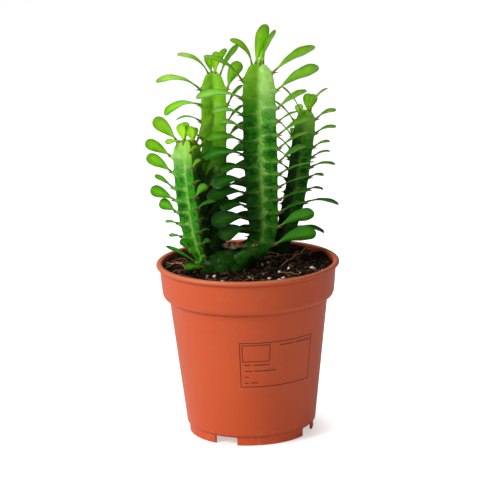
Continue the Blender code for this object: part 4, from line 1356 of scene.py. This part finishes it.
def lump_finish(name, dark, light, roughness, speckle=0.0):
    """A crumbly finish whose lumps differ in tone."""
    finish = Finish(name)
    tone = finish.attribute("tone")
    cloud = finish.grain(900, 4.0, 0.65)
    colour = finish.mix(finish.smooth(tone * 0.7 + cloud * 0.6, 0.35, 1.05), dark, light)
    if speckle:
        colour = finish.mix(finish.smooth(cloud, 0.55, 0.75) * speckle, colour, srgb(120, 96, 72))
    return finish.surface(Base_Color=colour, Roughness=roughness, Specular_IOR_Level=0.12,
                          Normal=finish.bump(cloud, 0.6, 0.0006))


def bed_finish(look):
    finish = Finish("moist peat")
    cloud = finish.grain(300, 5.0, 0.7)
    grit = finish.grain(1500, 3.0, 0.7)
    colour = finish.mix(finish.smooth(cloud, 0.42, 0.72), srgb(9, 5, 4), look.peat)
    colour = finish.mix(finish.smooth(grit, 0.62, 0.75) * 0.5, colour, look.bark)
    return finish.surface(Base_Color=colour, Roughness=0.88, Specular_IOR_Level=0.10,
                          Normal=finish.bump(cloud + grit * 0.5, 1.0, 0.0012))


class MILK_TREE_OT_stage(bpy.types.Operator):
    """Set up the camera, the lamps, the sky and the pale floor with a painted shadow round the pot"""

    bl_idname = "milk_tree.stage"
    bl_label = "Stage"

    def execute(self, context):
        look = context.scene.milk_tree_stage
        scene = context.scene
        camera = bpy.data.objects.new("camera", bpy.data.cameras.new("camera"))
        scene.collection.objects.link(camera)
        camera.data.sensor_width = SENSOR
        camera.data.lens = LENS
        camera.data.shift_x, camera.data.shift_y = SHIFT
        camera.data.clip_start = 0.05
        target = Vector((0, 0, AIM_HEIGHT))
        place = target + look.distance * Vector((0, -math.cos(look.rise), math.sin(look.rise)))
        turn = Matrix.Rotation(math.pi / 2 - look.rise, 4, "X") @ Matrix.Rotation(math.radians(ROLL), 4, "Z")
        camera.matrix_world = Matrix.Translation(place) @ turn
        scene.camera = camera
        scene.view_settings.view_transform = "Standard"

        for name, spot, setting, share, size in LAMPS:
            self.lamp(scene, name, spot, getattr(look, setting) * share, size)

        world = bpy.data.worlds.new("studio")
        scene.world = world
        world.use_nodes = True
        sky = Graph(world.node_tree)
        sky.tree.nodes.clear()
        seen = sky.node("ShaderNodeLightPath", output="Is Camera Ray")
        strength = look.sky + seen * (SKY_SEEN - look.sky)
        light = sky.node("ShaderNodeBackground", None, {"Color": (1.0, 1.0, 1.0), "Strength": strength})
        sky.node("ShaderNodeOutputWorld", None, {"Surface": light})

        solid = bmesh.new()
        bmesh.ops.create_grid(solid, x_segments=1, y_segments=1, size=FLOOR_REACH)
        floor = new_object("floor", mesh_from(solid, "floor"))
        pale = Finish("pale floor")
        seen = pale.node("ShaderNodeLightPath", output="Is Camera Ray")
        near = pale.node("ShaderNodeVectorMath", {"operation": "LENGTH"}, {"Vector": pale.place}, "Value")
        # painted contact shadow: the floor's glow is dimmer near the pot's foot
        glow = pale.mix(pale.smooth(near, *SHADOW_FADE), (0.50, 0.50, 0.50), (0.88, 0.88, 0.88))
        floor.data.materials.append(pale.surface(
            Base_Color=pale.mix(pale.grain(3.0) * 0.05, (0.90, 0.90, 0.90), (0.86, 0.86, 0.86)),
            Roughness=0.9,
            Emission_Color=pale.mix(seen, (0.10, 0.10, 0.10), glow), Emission_Strength=1.0))
        return {"FINISHED"}

    def lamp(self, scene, name, place, power, size):
        light = bpy.data.lights.new(name, "AREA")
        light.energy = power
        light.size = size
        lamp = bpy.data.objects.new(name, light)
        lamp.location = place
        lamp.rotation_euler = (LAMP_AIM - Vector(place)).to_track_quat("-Z", "Y").to_euler()
        scene.collection.objects.link(lamp)


class MILK_TREE_OT_pot(bpy.types.Operator):
    """Make the moulded pot with its foot notches and drain holes"""

    bl_idname = "milk_tree.pot"
    bl_label = "Pot"

    def execute(self, context):
        look = context.scene.milk_tree_pot
        shell = pot_solid(look)
        cutters = [notch_cutter(heading) for heading in NOTCH_HEADINGS]
        cutters += [drain_cutter(index) for index in range(DRAIN_HOLES)]
        for cutter in cutters:
            hole = shell.modifiers.new("hole", "BOOLEAN")
            hole.operation = "DIFFERENCE"
            hole.object = cutter
            hole.solver = "EXACT"
        graph = context.evaluated_depsgraph_get()
        mesh = bpy.data.meshes.new_from_object(shell.evaluated_get(graph))
        drop(shell, *cutters)
        mesh.shade_smooth()
        mesh.set_sharp_from_angle(angle=math.radians(40))
        mesh.materials.clear()
        mesh.materials.append(pot_finish(look))
        settle(new_object("pot_wall", mesh), "pot", "pot")
        return {"FINISHED"}


class MILK_TREE_OT_print(bpy.types.Operator):
    """Print the plain label frame on the pot wall"""

    bl_idname = "milk_tree.print"
    bl_label = "Printed frame"

    def execute(self, context):
        look = context.scene.milk_tree_pot
        solid = bmesh.new()
        outline_bars(solid, PRINT_OUTER, look.line)
        outline_bars(solid, PRINT_INNER, look.line)
        for start, end, height in PRINT_DASHES:
            wall_bar(solid, start, end, height, height + DASH_WIDTH)
        mesh = closed_mesh(solid, "printed_frame", ink_finish(look))
        settle(new_object("printed_frame", mesh), "pot")
        return {"FINISHED"}


class MILK_TREE_OT_mix(bpy.types.Operator):
    """Fill the pot with peat, crumbs, bark chips, perlite and fibres"""

    bl_idname = "milk_tree.mix"
    bl_label = "Potting mix"

    def execute(self, context):
        look = context.scene.milk_tree_mix
        bed = mix_bed(bed_finish(look))
        shape = lump_shape()
        peat = lump_finish("peat crumbs", srgb(9, 5, 4), look.peat, 0.8, 0.25)
        bark = lump_finish("bark chips", srgb(34, 20, 13), look.bark, 0.7)
        white = lump_finish("perlite", srgb(206, 190, 164), look.perlite, 0.7, 0.30)
        straw = lump_finish("straw fibres", srgb(44, 27, 17), look.straw, 0.6)
        kinds = {
            "peat_crumbs": (peat, dict(count=look.crumbs, smallest=0.0004, largest=0.0013, roundness=1,
                                       seed=3, ruggedness=0.5)),
            "peat_clods": (peat, dict(count=look.clods, smallest=0.0009, largest=0.0028, roundness=2,
                                      seed=11, ruggedness=0.6, sunk=0.6)),
            "bark_chips": (bark, dict(count=look.chips, smallest=0.0005, largest=0.0018, length=2.6,
                                      flatness=0.3, roundness=2, seed=5, ruggedness=0.3)),
            "perlite_grains": (white, dict(count=look.grains, smallest=0.00022, largest=0.0021,
                                           roundness=1, seed=8, flatness=0.6, length=1.2,
                                           ruggedness=1.0, frontward=1.0))}
        meshes = {name: grown(name, bed, shape, finish, **sizes) for name, (finish, sizes) in kinds.items()}
        meshes["straw_fibres"] = sprung("fibres", fibre_host(look.fibres), strand_shape(), straw)
        settle(bed, "soil", "soil")
        for name, mesh in meshes.items():
            settle(new_object(name, mesh), "soil")
        return {"FINISHED"}


class MILK_TREE_OT_skin(bpy.types.Operator):
    """Make the ribbed skin of the stems and the old trunk"""

    bl_idname = "milk_tree.skin"
    bl_label = "Stem skin"

    def execute(self, context):
        look = context.scene.milk_tree_plant
        shape = skin_shape()
        finish = skin_finish(look)
        for node, stems in PLANTS.items():
            meshes = []
            for stem in stems:
                lags = [float(rib.lag) for rib in stem.ribs]
                meshes.append(sprung(
                    node, skin_host(stem), shape, finish, first_rib=float(stem.first_rib),
                    last_tooth=tooth_distance(stem, 0, stem.teeth - 1) * MM, teeth=stem.teeth,
                    tooth_depth=look.tooth, lag_one=lags[0], lag_two=lags[1], lag_three=lags[2]))
            if node == "stems_front":
                meshes.append(trunk_mesh(finish))
            settle(joined(node + "_skin", meshes), "plant", node)
        return {"FINISHED"}


class MILK_TREE_OT_leaves(bpy.types.Operator):
    """Make the fleshy leaves, and the dried one across the trunk"""

    bl_idname = "milk_tree.leaves"
    bl_label = "Leaves"

    def execute(self, context):
        look = context.scene.milk_tree_plant
        shape = blade_shape()
        finish = leaf_finish(look)
        for node, stems in PLANTS.items():
            meshes = [sprung(node, leaf_host(planted(stem, look.tooth)[1], stem), shape, finish,
                             thickness=look.thickness) for stem in stems]
            settle(joined(node + "_leaves", meshes), "plant", node)
        for name, (start, *form), age, leaf_look, fold, wave in (
                ("dried_leaf", DRIED_LEAF, 0.9, dried_finish(), 0.9, 0.35),
                ("low_leaf", LOW_LEAF, 0.55, finish, 0.26, 0.05)):
            host = leaf_host([(Vector(start), *form, age, 0.4)], MIDDLE)
            mesh = sprung(name, host, shape, leaf_look, fold=fold, wave=wave)
            settle(new_object(name, mesh), "plant", "stems_front")
        return {"FINISHED"}


class MILK_TREE_OT_thorns(bpy.types.Operator):
    """Make the paired thorns on every tooth"""

    bl_idname = "milk_tree.thorns"
    bl_label = "Thorns"

    def execute(self, context):
        look = context.scene.milk_tree_plant
        shape = thorn_shape()
        finish = thorn_finish(look)
        for node, stems in PLANTS.items():
            places = [place for stem in stems for place in planted(stem, look.tooth)[0]]
            draws = random.Random(len(places))
            host = host_mesh("thorn places", [crest * MM for crest, _, _ in places], {
                "facing": [math.radians(facing) for _, facing, _ in places],
                "rise": [math.radians(rise) for _, _, rise in places],
                "size": [draws.uniform(0.8, 1.1) for _ in places]})
            mesh = sprung(node, host, shape, finish)
            settle(new_object(node + "_thorns", mesh), "plant", node)
        return {"FINISHED"}


class MILK_TREE_PT_panel(bpy.types.Panel):
    bl_idname = "MILK_TREE_PT_panel"
    bl_label = "Potted African Milk Tree"
    bl_space_type = "VIEW_3D"
    bl_region_type = "UI"
    bl_category = "Milk Tree"

    def draw(self, context):
        scene = context.scene
        for settings, operators in (
                (scene.milk_tree_stage, ("stage",)), (scene.milk_tree_pot, ("pot", "print")),
                (scene.milk_tree_mix, ("mix",)), (scene.milk_tree_plant, ("skin", "leaves", "thorns"))):
            box = self.layout.box()
            for name in settings.__annotations__:
                box.prop(settings, name)
            for operator in operators:
                box.operator("milk_tree." + operator)


# Each group of settings, under its name on the scene
SETTINGS = {"pot": PotSettings, "mix": MixSettings, "plant": PlantSettings, "stage": StageSettings}
CLASSES = (*SETTINGS.values(), MILK_TREE_OT_stage, MILK_TREE_OT_pot, MILK_TREE_OT_print, MILK_TREE_OT_mix,
           MILK_TREE_OT_skin, MILK_TREE_OT_leaves, MILK_TREE_OT_thorns, MILK_TREE_PT_panel)


def register():
    for kind in CLASSES:
        bpy.utils.register_class(kind)
    for name, kind in SETTINGS.items():
        setattr(bpy.types.Scene, "milk_tree_" + name, bpy.props.PointerProperty(type=kind))


def unregister():
    for name in SETTINGS:
        delattr(bpy.types.Scene, "milk_tree_" + name)
    for kind in reversed(CLASSES):
        bpy.utils.unregister_class(kind)


def main():
    register()
    bpy.ops.milk_tree.stage()
    bpy.ops.milk_tree.pot()
    bpy.ops.milk_tree.print()
    bpy.ops.milk_tree.mix()
    bpy.ops.milk_tree.skin()
    bpy.ops.milk_tree.leaves()
    bpy.ops.milk_tree.thorns()


if __name__ == "__main__":
    main()
